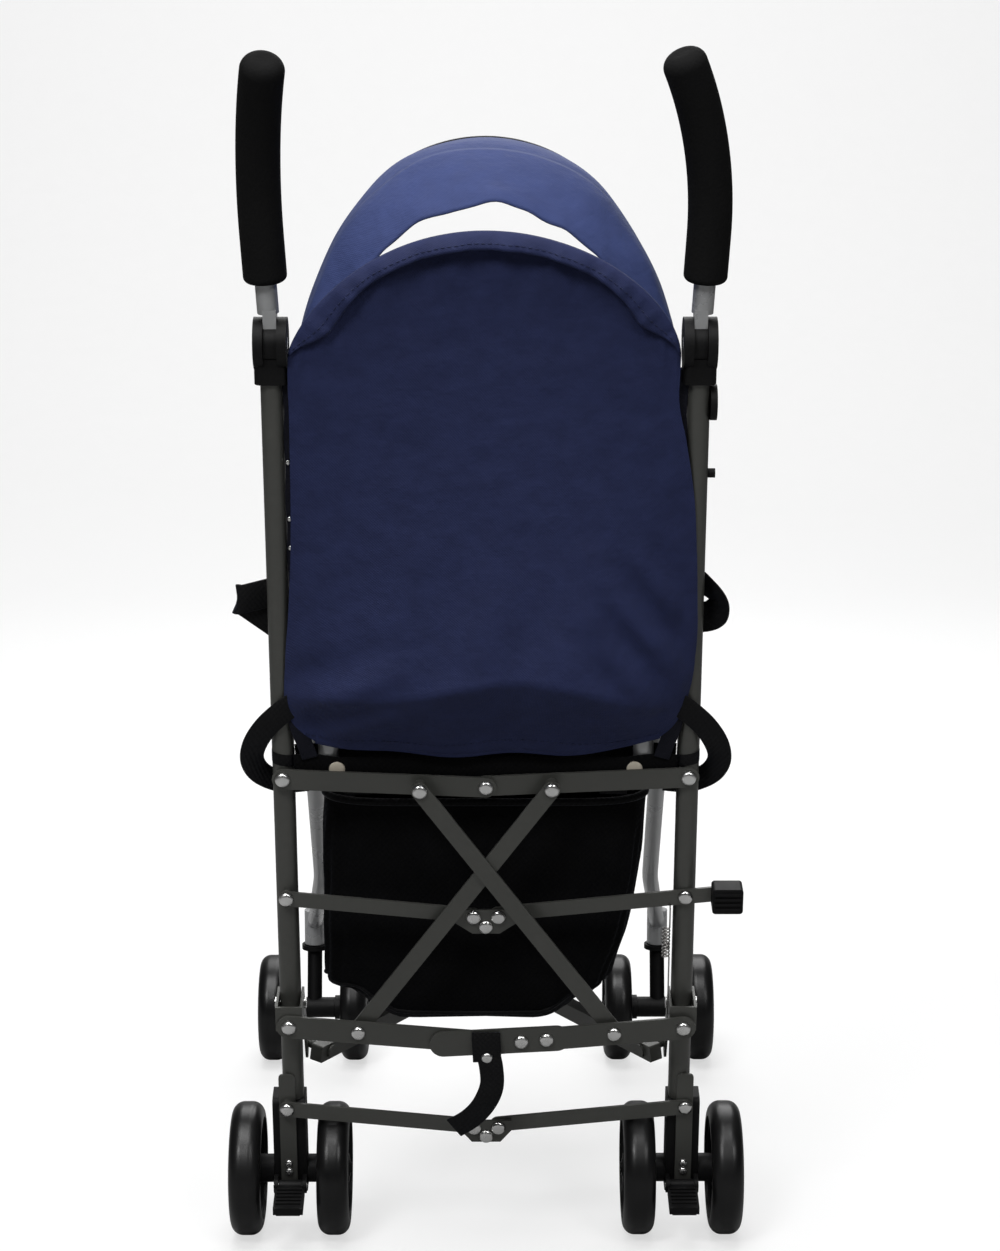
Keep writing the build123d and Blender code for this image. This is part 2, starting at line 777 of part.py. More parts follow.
# Front legs: an eye on the post, one long bent tube and a welded upright sleeve for the caster
front_axle_y = rear_axle_y + wheel_base
swivel_y = front_axle_y + caster_trail
leg_top = spot(0, leg_pivot_height)
for side, s in sides:
    pivot = Vector(s * leg_top_x, leg_top.Y, leg_top.Z)
    knee = Vector(s * knee_x, rear_axle_y + knee_forward, knee_z)
    foot = Vector(s * caster_x, swivel_y, (head_bottom + head_top) / 2 + 4.0)
    start = pivot + (knee - pivot).normalized() * (leg_pin_radius + 3 + leg_radius - 3.0)
    with BuildPart() as front_leg:
        with BuildLine() as leg_path:
            FilletPolyline(start, knee, foot, radius=knee_radius)
        with BuildSketch(Plane(origin=start, z_dir=knee - pivot)):
            Circle(leg_radius)
        sweep(path=leg_path.wire())
        with BuildSketch(Plane.YZ.offset(s * leg_top_x)):
            with Locations((pivot.Y, pivot.Z)):
                Circle(leg_eye_radius)
            with Locations((start.Y * 2 - pivot.Y, start.Z * 2 - pivot.Z)):
                Circle(leg_radius - 1.0)
            make_hull()
        extrude(amount=leg_eye_width / 2, both=True)
        with BuildSketch(Plane.XY.offset(head_bottom)):
            with Locations((s * caster_x, swivel_y)):
                Circle(sleeve_radius)
        extrude(amount=head_top - head_bottom)
        fillet(front_leg.edges().filter_by(GeomType.CIRCLE).sort_by(Axis.Z)[0], 1.0)
        bore(Plane.XY.offset(head_bottom), (s * caster_x, swivel_y), swivel_radius + running_gap, swivel_depth)
        bore(Plane.YZ.offset(s * leg_top_x), (pivot.Y, pivot.Z), leg_pin_radius + running_gap, leg_eye_width)
        hollow_start = start + (knee - pivot).normalized() * (2 * leg_radius)
        hollow_end = foot + (knee - foot).normalized() * (sleeve_radius + 2 * leg_radius)
        with BuildLine() as hollow_path:
            FilletPolyline(hollow_start, knee, hollow_end, radius=knee_radius)
        with BuildSketch(Plane(origin=hollow_start, z_dir=knee - pivot)):
            Circle(leg_radius - leg_wall)
        sweep(path=hollow_path.wire(), mode=Mode.SUBTRACT)
    write(front_leg, f"front_leg_{side}")

# Caster forks: swivel pin, crown, raked stem and the cross hub for the axle
for side, s in sides:
    crown_z = head_bottom - bar_gap - crown_height
    stem_top = Vector(s * caster_x, swivel_y, crown_z + 1.0)
    stem_foot = Vector(s * caster_x, front_axle_y, front_wheel_radius)
    with BuildPart() as caster_fork:
        disc(Plane.XY.offset(crown_z), (s * caster_x, swivel_y), crown_radius, crown_height)
        disc(Plane.XY.offset(crown_z), (s * caster_x, swivel_y), swivel_radius, crown_height + 28.0)
        with BuildSketch(Plane(origin=stem_top, z_dir=stem_foot - stem_top)):
            Circle(stem_radius)
        extrude(amount=(stem_foot - stem_top).length)
        hub_place = (front_axle_y, front_wheel_radius)
        disc(Plane.YZ.offset(s * caster_x - fork_hub_width / 2), hub_place, fork_hub_radius, fork_hub_width)
        bore(Plane.YZ.offset(s * caster_x), hub_place, front_axle_radius + running_gap, fork_hub_width)
    write(caster_fork, f"caster_fork_{side}")


def wheel_pair(centre_x, pitch, axle_y, radius, axle_radius, inner_reach):
    # Two rims with windows in their webs, and the axle that joins them
    rim_radius = radius - tyre_height - 0.05
    place = (axle_y, radius)
    with BuildPart() as pair:
        for s in (-1, 1):
            x = centre_x + s * pitch / 2
            middle = Plane.YZ.offset(x)
            with BuildSketch(middle):
                with Locations(place):
                    Circle(rim_radius)
                    Circle(rim_radius - rim_wall, mode=Mode.SUBTRACT)
            extrude(amount=rim_width / 2, both=True)
            with BuildSketch(middle):
                with Locations(place):
                    Circle(rim_radius - rim_wall / 2)
                    window_ring = (rim_radius - rim_wall + wheel_hub_radius) / 2
                    with PolarLocations(window_ring, web_windows):
                        Circle(window_ring * 0.28, mode=Mode.SUBTRACT)
            extrude(amount=web_thickness / 2, both=True)
            hub_inner = centre_x + s * inner_reach
            hub_outer = x + s * (tyre_width / 2 - 1.0)
            disc(Plane.YZ.offset(hub_inner), place, wheel_hub_radius, hub_outer - hub_inner)
            bore(middle, place, axle_radius + running_gap, pitch)
        axle_half = pitch / 2 + tyre_width / 2 + axle_end
        disc(Plane.YZ.offset(centre_x - axle_half), place, axle_radius, 2 * axle_half)
        for s in (-1, 1):
            cap_x = centre_x + s * (pitch / 2 + tyre_width / 2 - 0.8)
            disc(Plane.YZ.offset(cap_x), place, axle_radius + 3.0, s * (axle_end - 1.0))
    return pair


def tyre_pair(centre_x, pitch, axle_y, radius):
    with BuildPart() as pair:
        for s in (-1, 1):
            with BuildSketch(Plane.YZ.offset(centre_x + s * pitch / 2)):
                with Locations((axle_y, radius)):
                    Circle(radius)
                    Circle(radius - tyre_height, mode=Mode.SUBTRACT)
            extrude(amount=tyre_width / 2, both=True)
        outer_edges = pair.edges().filter_by(GeomType.CIRCLE).group_by(SortBy.RADIUS)[-1]
        fillet(outer_edges, tyre_round)
    return pair


# Twin wheels
for side, s in sides:
    write(
        wheel_pair(
            s * rear_wheel_x, rear_wheel_pitch, rear_axle_y, rear_wheel_radius, rear_axle_radius, housing_width / 2 + 0.4
        ),
        f"rear_wheels_{side}",
    )
    write(tyre_pair(s * rear_wheel_x, rear_wheel_pitch, rear_axle_y, rear_wheel_radius), f"rear_tyres_{side}")
    write(
        wheel_pair(
            s * caster_x, front_wheel_pitch, front_axle_y, front_wheel_radius, front_axle_radius, fork_hub_width / 2 + 0.4
        ),
        f"front_wheels_{side}",
    )
    write(tyre_pair(s * caster_x, front_wheel_pitch, front_axle_y, front_wheel_radius), f"front_tyres_{side}")

# Back tubes beside the posts, with ties to the posts and a lug for the seat rail
for side, s in sides:
    with BuildPart() as back_tube:
        with BuildSketch(up_plane(s * back_tube_x, back_tube_low)):
            Circle(back_tube_radius)
        extrude(amount=back_tube_high - back_tube_low)
        tie_reach = post_inner - 0.3 - back_tube_x
        for tie in (tie_low, tie_high):
            disc(across(s * back_tube_x, tie), (0, 0), tie_radius, s * tie_reach)
        with BuildSketch(across(s * back_tube_x, rail_pivot_height)):
            with Locations((0, rail_pivot_depth)):
                Circle(cheek_radius)
            Rectangle(2 * cheek_radius, back_tube_radius)
            make_hull()
        extrude(amount=lug_thickness / 2, both=True)
        pin_half = lug_thickness / 2 + 0.4 + cheek_thickness + 0.4
        rail_pin = across(s * back_tube_x - pin_half, rail_pivot_height, rail_pivot_depth)
        disc(rail_pin, (0, 0), rail_pin_radius, 2 * pin_half)
    write(back_tube, f"back_tube_{side}")


def rail_plane(s):
    rise = math.radians(rail_rise)
    return Plane(
        origin=spot(s * back_tube_x, rail_pivot_height, rail_pivot_depth),
        x_dir=(0, math.cos(rise), math.sin(rise)),
        z_dir=(1, 0, 0),
    )


# Seat rails
for side, s in sides:
    cheek_start = lug_thickness / 2 + 0.4
    with BuildPart() as seat_rail:
        hinge = rail_plane(s)
        for edge in (cheek_start, -cheek_start - cheek_thickness):
            with BuildSketch(hinge.offset(edge)):
                with Locations((cheek_radius + 4.0, 0)):
                    SlotCenterToCenter(2 * cheek_radius + 8.0, 2 * cheek_radius - 1.0)
                Circle(rail_pin_radius + running_gap, mode=Mode.SUBTRACT)
            extrude(amount=cheek_thickness)
        tube_start = hinge.from_local_coords(Vector(2 * cheek_radius + 1.0, 0, 0))
        with BuildSketch(Plane(origin=tube_start, x_dir=(1, 0, 0), z_dir=hinge.x_dir)):
            Circle(rail_radius)
        extrude(amount=rail_length - 2 * cheek_radius - 1.0)
    write(seat_rail, f"seat_rail_{side}")


def pillow(plane, width, depth, thickness):
    # A cushion with a crowned top and sides that draw in between its corners
    with BuildPart() as cushion:
        for lift, share in ((0.0, 0.95), (0.4, 1.0), (0.78, 0.93), (1.0, 0.72)):
            half_x = width * share / 2
            half_y = depth * share / 2
            with BuildSketch(plane.offset(thickness * lift)):
                with BuildLine():
                    ThreePointArc((-half_x, -half_y), (0, -half_y + pad_pull), (half_x, -half_y))
                    ThreePointArc((half_x, -half_y), (half_x - pad_pull, 0), (half_x, half_y))
                    ThreePointArc((half_x, half_y), (0, half_y - pad_pull), (-half_x, half_y))
                    ThreePointArc((-half_x, half_y), (-half_x + pad_pull, 0), (-half_x, -half_y))
                make_face()
        loft()
    return cushion


# Seat pad on the rails, and the back pad in front of the back tubes
rise_dir = rail_plane(1)
seat_corner = rise_dir.from_local_coords(Vector(seat_depth / 2 + seat_start, rail_radius + soft_gap, 0))
seat_plane = Plane(
    origin=(0, seat_corner.Y, seat_corner.Z), x_dir=(1, 0, 0), z_dir=rise_dir.y_dir
)
seat_pad = pillow(seat_plane, seat_width, seat_depth, seat_thickness)
write(seat_pad, "seat_pad")

back_middle = (back_low + back_high) / 2
back_face = -back_tube_radius - soft_gap
back_plane = Plane(origin=spot(0, back_middle, back_face), x_dir=(1, 0, 0), z_dir=rear.z_dir * -1)
back_pad = pillow(back_plane, back_width, back_high - back_low, back_thickness)
write(back_pad, "back_pad")

# Back cover: a slack sack from post to post, taut under its arched top and fullest low down
cover_stations = 9
with BuildPart() as back_cover:
    for station in range(cover_stations):
        share = 2 * station / (cover_stations - 1) - 1
        top = cover_shoulder + cover_crown * (1.0 - share**2) ** cover_arch
        fold = cover_fold * (1 if station % 2 else -1)
        swell = cover_edge + (cover_bulge + fold) * (1.0 - abs(share) ** 3)
        turn = math.sqrt(0.5)
        low_middle = (cover_full - (cover_full - cover_bottom) * turn, swell * turn)
        high_middle = ((cover_full + top) / 2, swell * cover_slack)
        with BuildSketch(across(share * cover_half, 0.0, cover_depth)):
            with BuildLine():
                for skin in (0.0, cloth):
                    ThreePointArc((cover_bottom, skin), (low_middle[0], low_middle[1] + skin), (cover_full, swell + skin))
                    ThreePointArc((cover_full, swell + skin), (high_middle[0], high_middle[1] + skin), (top, skin))
                for edge in (cover_bottom, top):
                    Line((edge, 0.0), (edge, cloth))
            make_face()
    loft()
    with BuildSketch(rear.offset(cover_depth)):
        with Locations(((cover_half + cover_flap + flap_seam) / 2, (flap_low + flap_high) / 2)):
            RectangleRounded(cover_flap - cover_half - flap_seam, flap_high - flap_low, 8.0)
    extrude(amount=cloth)
write(back_cover, "back_cover")


def arch_run(base, foot, inset):
    # Radii and centres of a three centre arch that is as wide as the bow at its pins
    turn = math.radians(crown_turn)
    crown = bow_foot_x - base * (1.0 - math.sin(turn)) / math.cos(turn)
    side = crown + base / math.cos(turn)
    centre_x = (side - crown) * math.sin(turn)
    foot_angle = math.degrees(math.asin(foot / (side - inset)))
    return side - inset, centre_x, foot_angle, crown - inset


def arch_lines(base, foot, inset):
    side, centre_x, foot_angle, top = arch_run(base, foot, inset)
    sweep_angle = 90.0 - crown_turn - foot_angle
    CenterArc((-centre_x, 0), side, foot_angle, sweep_angle)
    CenterArc((0, base), top, 90.0 - crown_turn, 2 * crown_turn)
    CenterArc((centre_x, 0), side, 90.0 + crown_turn, sweep_angle)


def tilted(angle):
    # A plane through the canopy pins, tilted up from the forward direction
    turn = math.radians(angle)
    upward = Vector(0, math.cos(turn), math.sin(turn))
    return Plane(origin=spot(0, canopy_height), x_dir=(1, 0, 0), z_dir=Vector(1, 0, 0).cross(upward))


# Canopy bow with an eye at each foot
bow_plane = tilted(bow_angle)
with BuildPart() as canopy_bow:
    with BuildLine(bow_plane) as bow_path:
        arch_lines(crown_base, bow_eye_radius * 0.7, 0.0)
    foot_point = bow_path.wire() @ 0
    foot_way = bow_path.wire() % 0
    with BuildSketch(Plane(origin=foot_point, z_dir=foot_way)):
        Circle(bow_radius)
    sweep(path=bow_path.wire())
    for s in (-1, 1):
        eye_plane = across(s * bow_eye_x, canopy_height)
        disc(eye_plane, (0, 0), bow_eye_radius, s * bow_eye_width)
        bore(eye_plane, (0, 0), canopy_pin_radius + running_gap, 2 * bow_eye_width)
write(canopy_bow, "canopy_bow")

# Canopy cloth from its slack rear edge up to the bow
with BuildPart() as canopy_cloth:
    middle_angle = (canopy_rear_angle + bow_angle) / 2 + 2.0
    middle_base = (canopy_rear_base + crown_base) / 2 + canopy_fullness
    for plane, base in (
        (tilted(canopy_rear_angle), canopy_rear_base),
        (tilted(middle_angle), middle_base),
        (bow_plane.offset(bow_radius + soft_gap), crown_base),
    ):
        with BuildSketch(plane):
            with BuildLine() as edge_line:
                ends = []
                for inset in (0.0, cloth):
                    arch_lines(base, canopy_foot, inset)
                    side, centre_x, foot_angle, top = arch_run(base, canopy_foot, inset)
                    ends.append(side * math.cos(math.radians(foot_angle)) - centre_x)
                for s in (-1, 1):
                    Line((s * ends[0], canopy_foot), (s * ends[1], canopy_foot))
            make_face()
    loft()
write(canopy_cloth, "canopy_cloth")

# Seat band behind the seat, post to post
with BuildPart() as seat_band:
    with BuildSketch(rear.offset(band_depth)):
        with Locations((0, (band_low + band_high) / 2)):
            Rectangle(2 * (post_inner - soft_gap), band_high - band_low)
    extrude(amount=-webbing)
write(seat_band, "seat_band")


def basket_section(z, half, reach, wall):
    back = spot(0, (z - rear_wheel_radius) / math.cos(lean), basket_back_depth / math.cos(lean)).Y
    front = rear_axle_y + reach
    with BuildSketch(Plane.XY.offset(z)) as outline:
        with Locations((0, (back + front) / 2)):
            RectangleRounded(2 * (half - wall), front - back - 2 * wall, basket_corner)
    return outline.sketch


# Basket, open at the top. Its back hangs from the seat band and its front from the seat rails.
with BuildPart() as basket:
    outer_floor = basket_section(basket_floor_z, basket_half_floor, basket_reach_floor, 0.0)
    outer_rim = basket_section(basket_top_z, basket_half_top, basket_reach_top, 0.0)
    loft(sections=[outer_floor, outer_rim], ruled=True)
    inner_floor = basket_section(basket_floor_z + cloth, basket_half_floor, basket_reach_floor, cloth)
    inner_rim = basket_section(basket_top_z + 0.01, basket_half_top, basket_reach_top, cloth)
    loft(sections=[inner_floor, inner_rim], ruled=True, mode=Mode.SUBTRACT)
    hanger_low = (basket_top_z - rear_wheel_radius) / math.cos(lean) - 14.0
    with BuildSketch(rear.offset(basket_back_depth)):
        with Locations((0, (band_low - soft_gap + hanger_low) / 2)):
            Rectangle(2 * hanger_half, band_low - soft_gap - hanger_low)
    extrude(amount=-cloth)
    rail_spot = rail_plane(1)
    hanger_y = rear_axle_y + basket_reach_top
    rail_z = rail_spot.origin.Z + (hanger_y - rail_spot.origin.Y) * math.tan(math.radians(rail_rise))
    for s in (-1, 1):
        hanger_edge = back_tube_x - rail_radius - soft_gap
        with BuildSketch(Plane(origin=(0, hanger_y, 0), x_dir=(1, 0, 0), z_dir=(0, -1, 0))):
            with Locations((s * (hanger_edge - hanger_width / 2), (rail_z + basket_top_z - 14.0) / 2)):
                Rectangle(hanger_width, rail_z - basket_top_z + 14.0)
        extrude(amount=cloth)
write(basket, "basket")

# Webbing loops on the outer side of each post: a folded end above, a sling loop below
for side, s in sides:
    edge = post_outer + 0.3
    tip = post_outer + loop_reach
    with BuildPart() as strap_loops:
        loop_mid = (loop_high + loop_low) / 2
        with BuildSketch(rear.offset(-webbing / 2)):
            with BuildLine():
                Polyline(
                    (s * edge, loop_high),
                    (s * (tip - 6.0), loop_high - 6.0),
                    (s * tip, loop_mid),
                    (s * edge, loop_low),
                    close=True,
                )
            make_face()
        extrude(amount=1.5 * webbing, both=True)
        with BuildSketch(rear.offset(post_face + 0.4)):
            with BuildLine():
                Polyline(
                    (s * (post_inner + 4.0), sling_loop_high),
                    (s * (tip - 2.0), sling_loop_mid + sling_loop_width / 2),
                    (s * (tip - 2.0), sling_loop_mid - sling_loop_width / 2),
                    (s * (edge + 1.0), sling_loop_low),
                    (s * (edge + 1.0), sling_loop_low + sling_loop_width * 0.7),
                    (s * (tip - sling_loop_width * 0.7), sling_loop_mid),
                    (s * (post_inner + 4.0), sling_loop_high - sling_loop_width),
                    close=True,
                )
            make_face()
        extrude(amount=webbing)
    write(strap_loops, f"strap_loops_{side}")

def turn_arcs(first, first_way, last, last_way):
    # Two arcs that leave one place in a given direction and reach another in a given direction
    gap = last - first
    spread = 1.0 - first_way.dot(last_way)
    reach = gap.dot(first_way + last_way)
    arm = (math.sqrt(reach**2 + 2 * spread * gap.dot(gap)) - reach) / (2 * spread)
    first_corner = first + first_way * arm
    last_corner = last - last_way * arm
    joint = (first_corner + last_corner) / 2
    TangentArc(first, joint, tangent=first_way)
    TangentArc(joint, last, tangent=last_corner - first_corner)


# Lock spring: a wire hooked into the middle link, close coils and a long straight tail
with BuildPart() as lock_spring:
    down = up_post * -1
    wire_x = spring_x + spring_radius
    hole_height = spring_top + spring_hook
    hook_start = spot(wire_x, hole_height, link_layer(1) + 0.3)
    hook_bend = spot(wire_x, hole_height, link_layer(1) + bar_thickness + spring_wire)
    hook_top = spot(wire_x, hole_height - 4 * spring_wire, spring_depth)
    coil_lead = 4 * spring_wire
    lead_in = spot(wire_x, spring_top + coil_lead, spring_depth)
    places = []
    ways = []
    for step in range(4 * spring_turns + 1):
        swing = step * math.pi / 2
        drop = step * spring_pitch / 4
        side_reach = spring_radius * math.cos(swing)
        back_reach = spring_radius * math.sin(swing)
        places.append(spot(spring_x + side_reach, spring_top - drop, spring_depth + back_reach))
        way = Vector(-back_reach, 0, 0) + rear.z_dir * side_reach + down * (spring_pitch / (2 * math.pi))
        ways.append(way.normalized())
    coil_bottom = spring_top - spring_turns * spring_pitch
    lead_out = spot(wire_x, coil_bottom - coil_lead, spring_depth)
    with BuildLine() as spring_path:
        Line(hook_start, hook_bend)
        turn_arcs(hook_bend, rear.z_dir, hook_top, down)
        Line(hook_top, lead_in)
        turn_arcs(lead_in, down, places[0], ways[0])
        for step in range(4 * spring_turns):
            turn_arcs(places[step], ways[step], places[step + 1], ways[step + 1])
        turn_arcs(places[-1], ways[-1], lead_out, down)
        Line(lead_out, lead_out + down * spring_tail)
    with BuildSketch(Plane(origin=hook_start, z_dir=rear.z_dir)):
        Circle(spring_wire)
    sweep(path=spring_path.wire())
samples = 80 * spring_turns
wire_points = [spring_path.wire() @ (step / samples) for step in range(samples + 1)]
apart = int(4 * spring_wire * samples / spring_path.wire().length) + 1
nearest = min(
    (wire_points[one] - wire_points[two]).length
    for one in range(samples + 1)
    for two in range(one + apart, samples + 1)
)
print(f"lock spring: least gap to itself {nearest - 2 * spring_wire:.2f} mm")
write(lock_spring, "lock_spring")

# Closure strap hanging from the overlap plate
with BuildPart() as closure_strap:
    strap_top = lower_centre()[1] + 12.0
    half = closure_width / 2
    with BuildSketch(rear.offset(lower_layer(1) + bar_thickness + 0.4)):
        with BuildLine():
            Polyline(
                (-half, strap_top),
                (half, strap_top),
                (half + 6.0, strap_top - closure_drop * 0.6),
                (half - closure_swing * 0.5, strap_top - closure_drop * 1.2),
                (half - closure_swing * 1.6, strap_top - closure_drop * 1.75),
                (-half - closure_swing * 0.9, strap_top - closure_drop * 1.6),
                (-half - closure_swing * 0.1, strap_top - closure_drop * 1.0),
                (-half + 3.0, strap_top - closure_drop * 0.6),
                close=True,
            )
        make_face()
    extrude(amount=webbing)
write(closure_strap, "closure_strap")

# Harness: shoulder straps down the back pad and a buckle on the seat pad
with BuildPart() as harness:
    strap_rise = (back_high - back_low) * 0.55
    strap_face_plane = back_plane.offset(back_thickness + soft_gap)
    for s in (-1, 1):
        with BuildSketch(strap_face_plane):
            with Locations((s * shoulder_x, 0)):
                Rectangle(shoulder_width, strap_rise)
        extrude(amount=webbing)
    with BuildSketch(seat_plane.offset(seat_thickness + soft_gap)):
        RectangleRounded(buckle_width, buckle_length, 6.0)
    extrude(amount=buckle_height)
write(harness, "harness")

# Accessory cap and stud on the right post
with BuildPart() as accessory_mount:
    disc(across(post_outer + 0.2, cap_height), (0, 0), cap_radius, cap_thickness)
    disc(across(post_outer + 0.2, stud_height), (0, 0), stud_radius, stud_length)
write(accessory_mount, "accessory_mount")
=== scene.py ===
import math
import bpy
import bmesh
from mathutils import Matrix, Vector, noise


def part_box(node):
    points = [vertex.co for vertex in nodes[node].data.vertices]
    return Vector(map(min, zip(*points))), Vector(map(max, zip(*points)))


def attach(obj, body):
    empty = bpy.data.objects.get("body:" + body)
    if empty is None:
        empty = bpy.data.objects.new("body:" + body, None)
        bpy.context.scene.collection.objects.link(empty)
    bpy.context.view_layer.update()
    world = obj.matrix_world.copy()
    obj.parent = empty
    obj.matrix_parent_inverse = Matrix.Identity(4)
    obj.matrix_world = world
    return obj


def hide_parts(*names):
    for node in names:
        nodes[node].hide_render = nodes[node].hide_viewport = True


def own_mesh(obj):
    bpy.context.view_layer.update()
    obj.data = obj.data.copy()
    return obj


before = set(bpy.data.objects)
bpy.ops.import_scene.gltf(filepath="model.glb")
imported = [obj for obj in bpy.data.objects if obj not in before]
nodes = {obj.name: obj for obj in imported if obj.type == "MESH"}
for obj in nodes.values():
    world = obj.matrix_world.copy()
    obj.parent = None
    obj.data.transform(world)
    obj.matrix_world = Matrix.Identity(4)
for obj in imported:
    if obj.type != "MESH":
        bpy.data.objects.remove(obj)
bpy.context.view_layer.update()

# The rear frame leans back. Heights run up its posts from the rear axle, depths run back from it.
rearFrame = dict(lean=12.0, postX=0.176, postHalf=0.0095, postFace=0.012)
tyreLow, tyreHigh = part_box("rear_tyres_left")
axle = Vector((0, (tyreLow.y + tyreHigh.y) / 2, (tyreLow.z + tyreHigh.z) / 2))
leanTurn = math.radians(rearFrame["lean"])
upPost = Vector((0, -math.sin(leanTurn), math.cos(leanTurn)))
backOut = Vector((0, -math.cos(leanTurn), -math.sin(leanTurn)))
across = Vector((1, 0, 0))
sides = (("left", -1), ("right", 1))


def rearSpot(x, height, depth=0.0):
    return axle + across * x + upPost * height + backOut * depth


def ease(start, end, value):
    share = min(1.0, max(0.0, (value - start) / (end - start)))
    return share * share * (3 - 2 * share)


def hump(value, centre, spread):
    return math.exp(-(((value - centre) / spread) ** 2))


def lerp(first, last, share):
    return first + (last - first) * share


# Camera at the photo's angle: a little above the handles, square on from behind
view = dict(lens=82.88, sensor=36.0, pitch=10.53, yaw=0.29, back=2.53, height=1.0415)
lensData = bpy.data.cameras.new("viewLens")
lensData.lens = view["lens"]
lensData.sensor_width = view["sensor"]
camera = bpy.data.objects.new("viewCamera", lensData)
bpy.context.scene.collection.objects.link(camera)
camera.location = (0, axle.y - view["back"], view["height"])
camera.rotation_euler = (math.radians(90 - view["pitch"]), 0, math.radians(-view["yaw"]))
bpy.context.scene.camera = camera
bpy.context.scene.view_settings.view_transform = "Standard"

# Soft studio light over a white floor that runs up into a backdrop
studio = dict(
    world=0.05,
    lamps=(
        ("overheadLamp", (-0.3, -0.75, 3.3), (0.0, -0.1, 0.4), 1.9, 80.0),
        ("leftLamp", (-1.3, -2.7, 3.1), (0.0, -0.25, 0.5), 1.1, 64.0),
        ("rightLamp", (1.5, -2.6, 2.9), (0.0, -0.25, 0.5), 1.1, 34.0),
        ("frontLamp", (0.2, 2.2, 2.4), (0.0, -0.2, 0.6), 2.2, 42.0),
        ("wallLamp", (0.0, 2.2, 3.4), (0.0, 5.4, 1.2), 2.4, 112.0),
    ),
    floorHalf=4.2,
    floorBack=-3.4,
    floorGlow=0.63,
    wallStart=3.2,
    sweep=2.6,
    sweepSteps=24,
    wallTop=5.6,
)
world = bpy.data.worlds.new("studioWorld")
bpy.context.scene.world = world
world.use_nodes = True
sky = world.node_tree.nodes["Background"]
sky.inputs["Color"].default_value = (1.0, 1.0, 1.0, 1.0)
sky.inputs["Strength"].default_value = studio["world"]
for name, place, target, size, power in studio["lamps"]:
    lampData = bpy.data.lights.new(name, "AREA")
    lampData.shape = "DISK"
    lampData.size = size
    lampData.energy = power
    lamp = bpy.data.objects.new(name, lampData)
    bpy.context.scene.collection.objects.link(lamp)
    lamp.location = place
    lamp.rotation_euler = (Vector(target) - Vector(place)).to_track_quat("-Z", "Y").to_euler()
print("camera and lamps set")


def addNode(tree, kind, values=None, **settings):
    node = tree.nodes.new(kind)
    for key, value in settings.items():
        setattr(node, key, value)
    for key, value in (values or {}).items():
        node.inputs[key].default_value = value
    return node


def wire(tree, source, sourceName, target, targetName):
    tree.links.new(source.outputs[sourceName], target.inputs[targetName])


def mathNode(tree, operation, first, second=None):
    node = addNode(tree, "ShaderNodeMath", operation=operation)
    for index, value in enumerate((first, second)):
        if isinstance(value, tuple):
            tree.links.new(value[0].outputs[value[1]], node.inputs[index])
        elif value is not None:
            node.inputs[index].default_value = value
    return node


def startGroup(name, inputs, outputs):
    # A group fed by a place and by plain numbers
    group = bpy.data.node_groups.new(name, "ShaderNodeTree")
    group.interface.new_socket("Vector", in_out="INPUT", socket_type="NodeSocketVector")
    for label, value in inputs.items():
        socket = group.interface.new_socket(label, in_out="INPUT", socket_type="NodeSocketFloat")
        socket.default_value = value
    for label in outputs:
        group.interface.new_socket(label, in_out="OUTPUT", socket_type="NodeSocketFloat")
    return group, group.nodes.new("NodeGroupInput"), group.nodes.new("NodeGroupOutput")


def makeWeaveGroup():
    # Threads over and under each other, with uneven yarn
    group, inside, outside = startGroup("clothWeave", dict(Threads=800.0, Slub=60.0), ("Height", "Shade"))
    split = addNode(group, "ShaderNodeSeparateXYZ")
    wire(group, inside, "Vector", split, "Vector")
    waves = []
    for lead, share in (("X", 0.35), ("Z", 0.6)):
        slant = mathNode(group, "MULTIPLY", (split, "Y"), share)
        run = mathNode(group, "ADD", (split, lead), (slant, 0))
        count = mathNode(group, "MULTIPLY", (run, 0), (inside, "Threads"))
        turn = mathNode(group, "MULTIPLY", (count, 0), math.pi)
        waves.append(mathNode(group, "SINE", (turn, 0)))
    crossing = mathNode(group, "MULTIPLY", (waves[0], 0), (waves[1], 0))
    half = mathNode(group, "MULTIPLY", (crossing, 0), 0.5)
    lifted = mathNode(group, "ADD", (half, 0), 0.5)
    yarn = addNode(group, "ShaderNodeTexNoise", {"Detail": 4.0, "Roughness": 0.6})
    wire(group, inside, "Vector", yarn, "Vector")
    wire(group, inside, "Slub", yarn, "Scale")
    fleck = mathNode(group, "MULTIPLY", (lifted, 0), 0.35)
    cloud = mathNode(group, "MULTIPLY", (yarn, 0), 0.65)
    shade = mathNode(group, "ADD", (fleck, 0), (cloud, 0))
    wire(group, lifted, 0, outside, "Height")
    wire(group, shade, 0, outside, "Shade")
    return group


def makeGrainGroup():
    # Fine surface grain, and broad patches that break up gloss and colour
    group, inside, outside = startGroup("surfaceGrain", dict(Fine=900.0, Broad=22.0), ("Height", "Patches"))
    fine = addNode(group, "ShaderNodeTexNoise", {"Detail": 2.0, "Roughness": 0.5})
    broad = addNode(group, "ShaderNodeTexNoise", {"Detail": 5.0, "Roughness": 0.62})
    for node, scale in ((fine, "Fine"), (broad, "Broad")):
        wire(group, inside, "Vector", node, "Vector")
        wire(group, inside, scale, node, "Scale")
    wire(group, fine, 0, outside, "Height")
    wire(group, broad, 0, outside, "Patches")
    return group


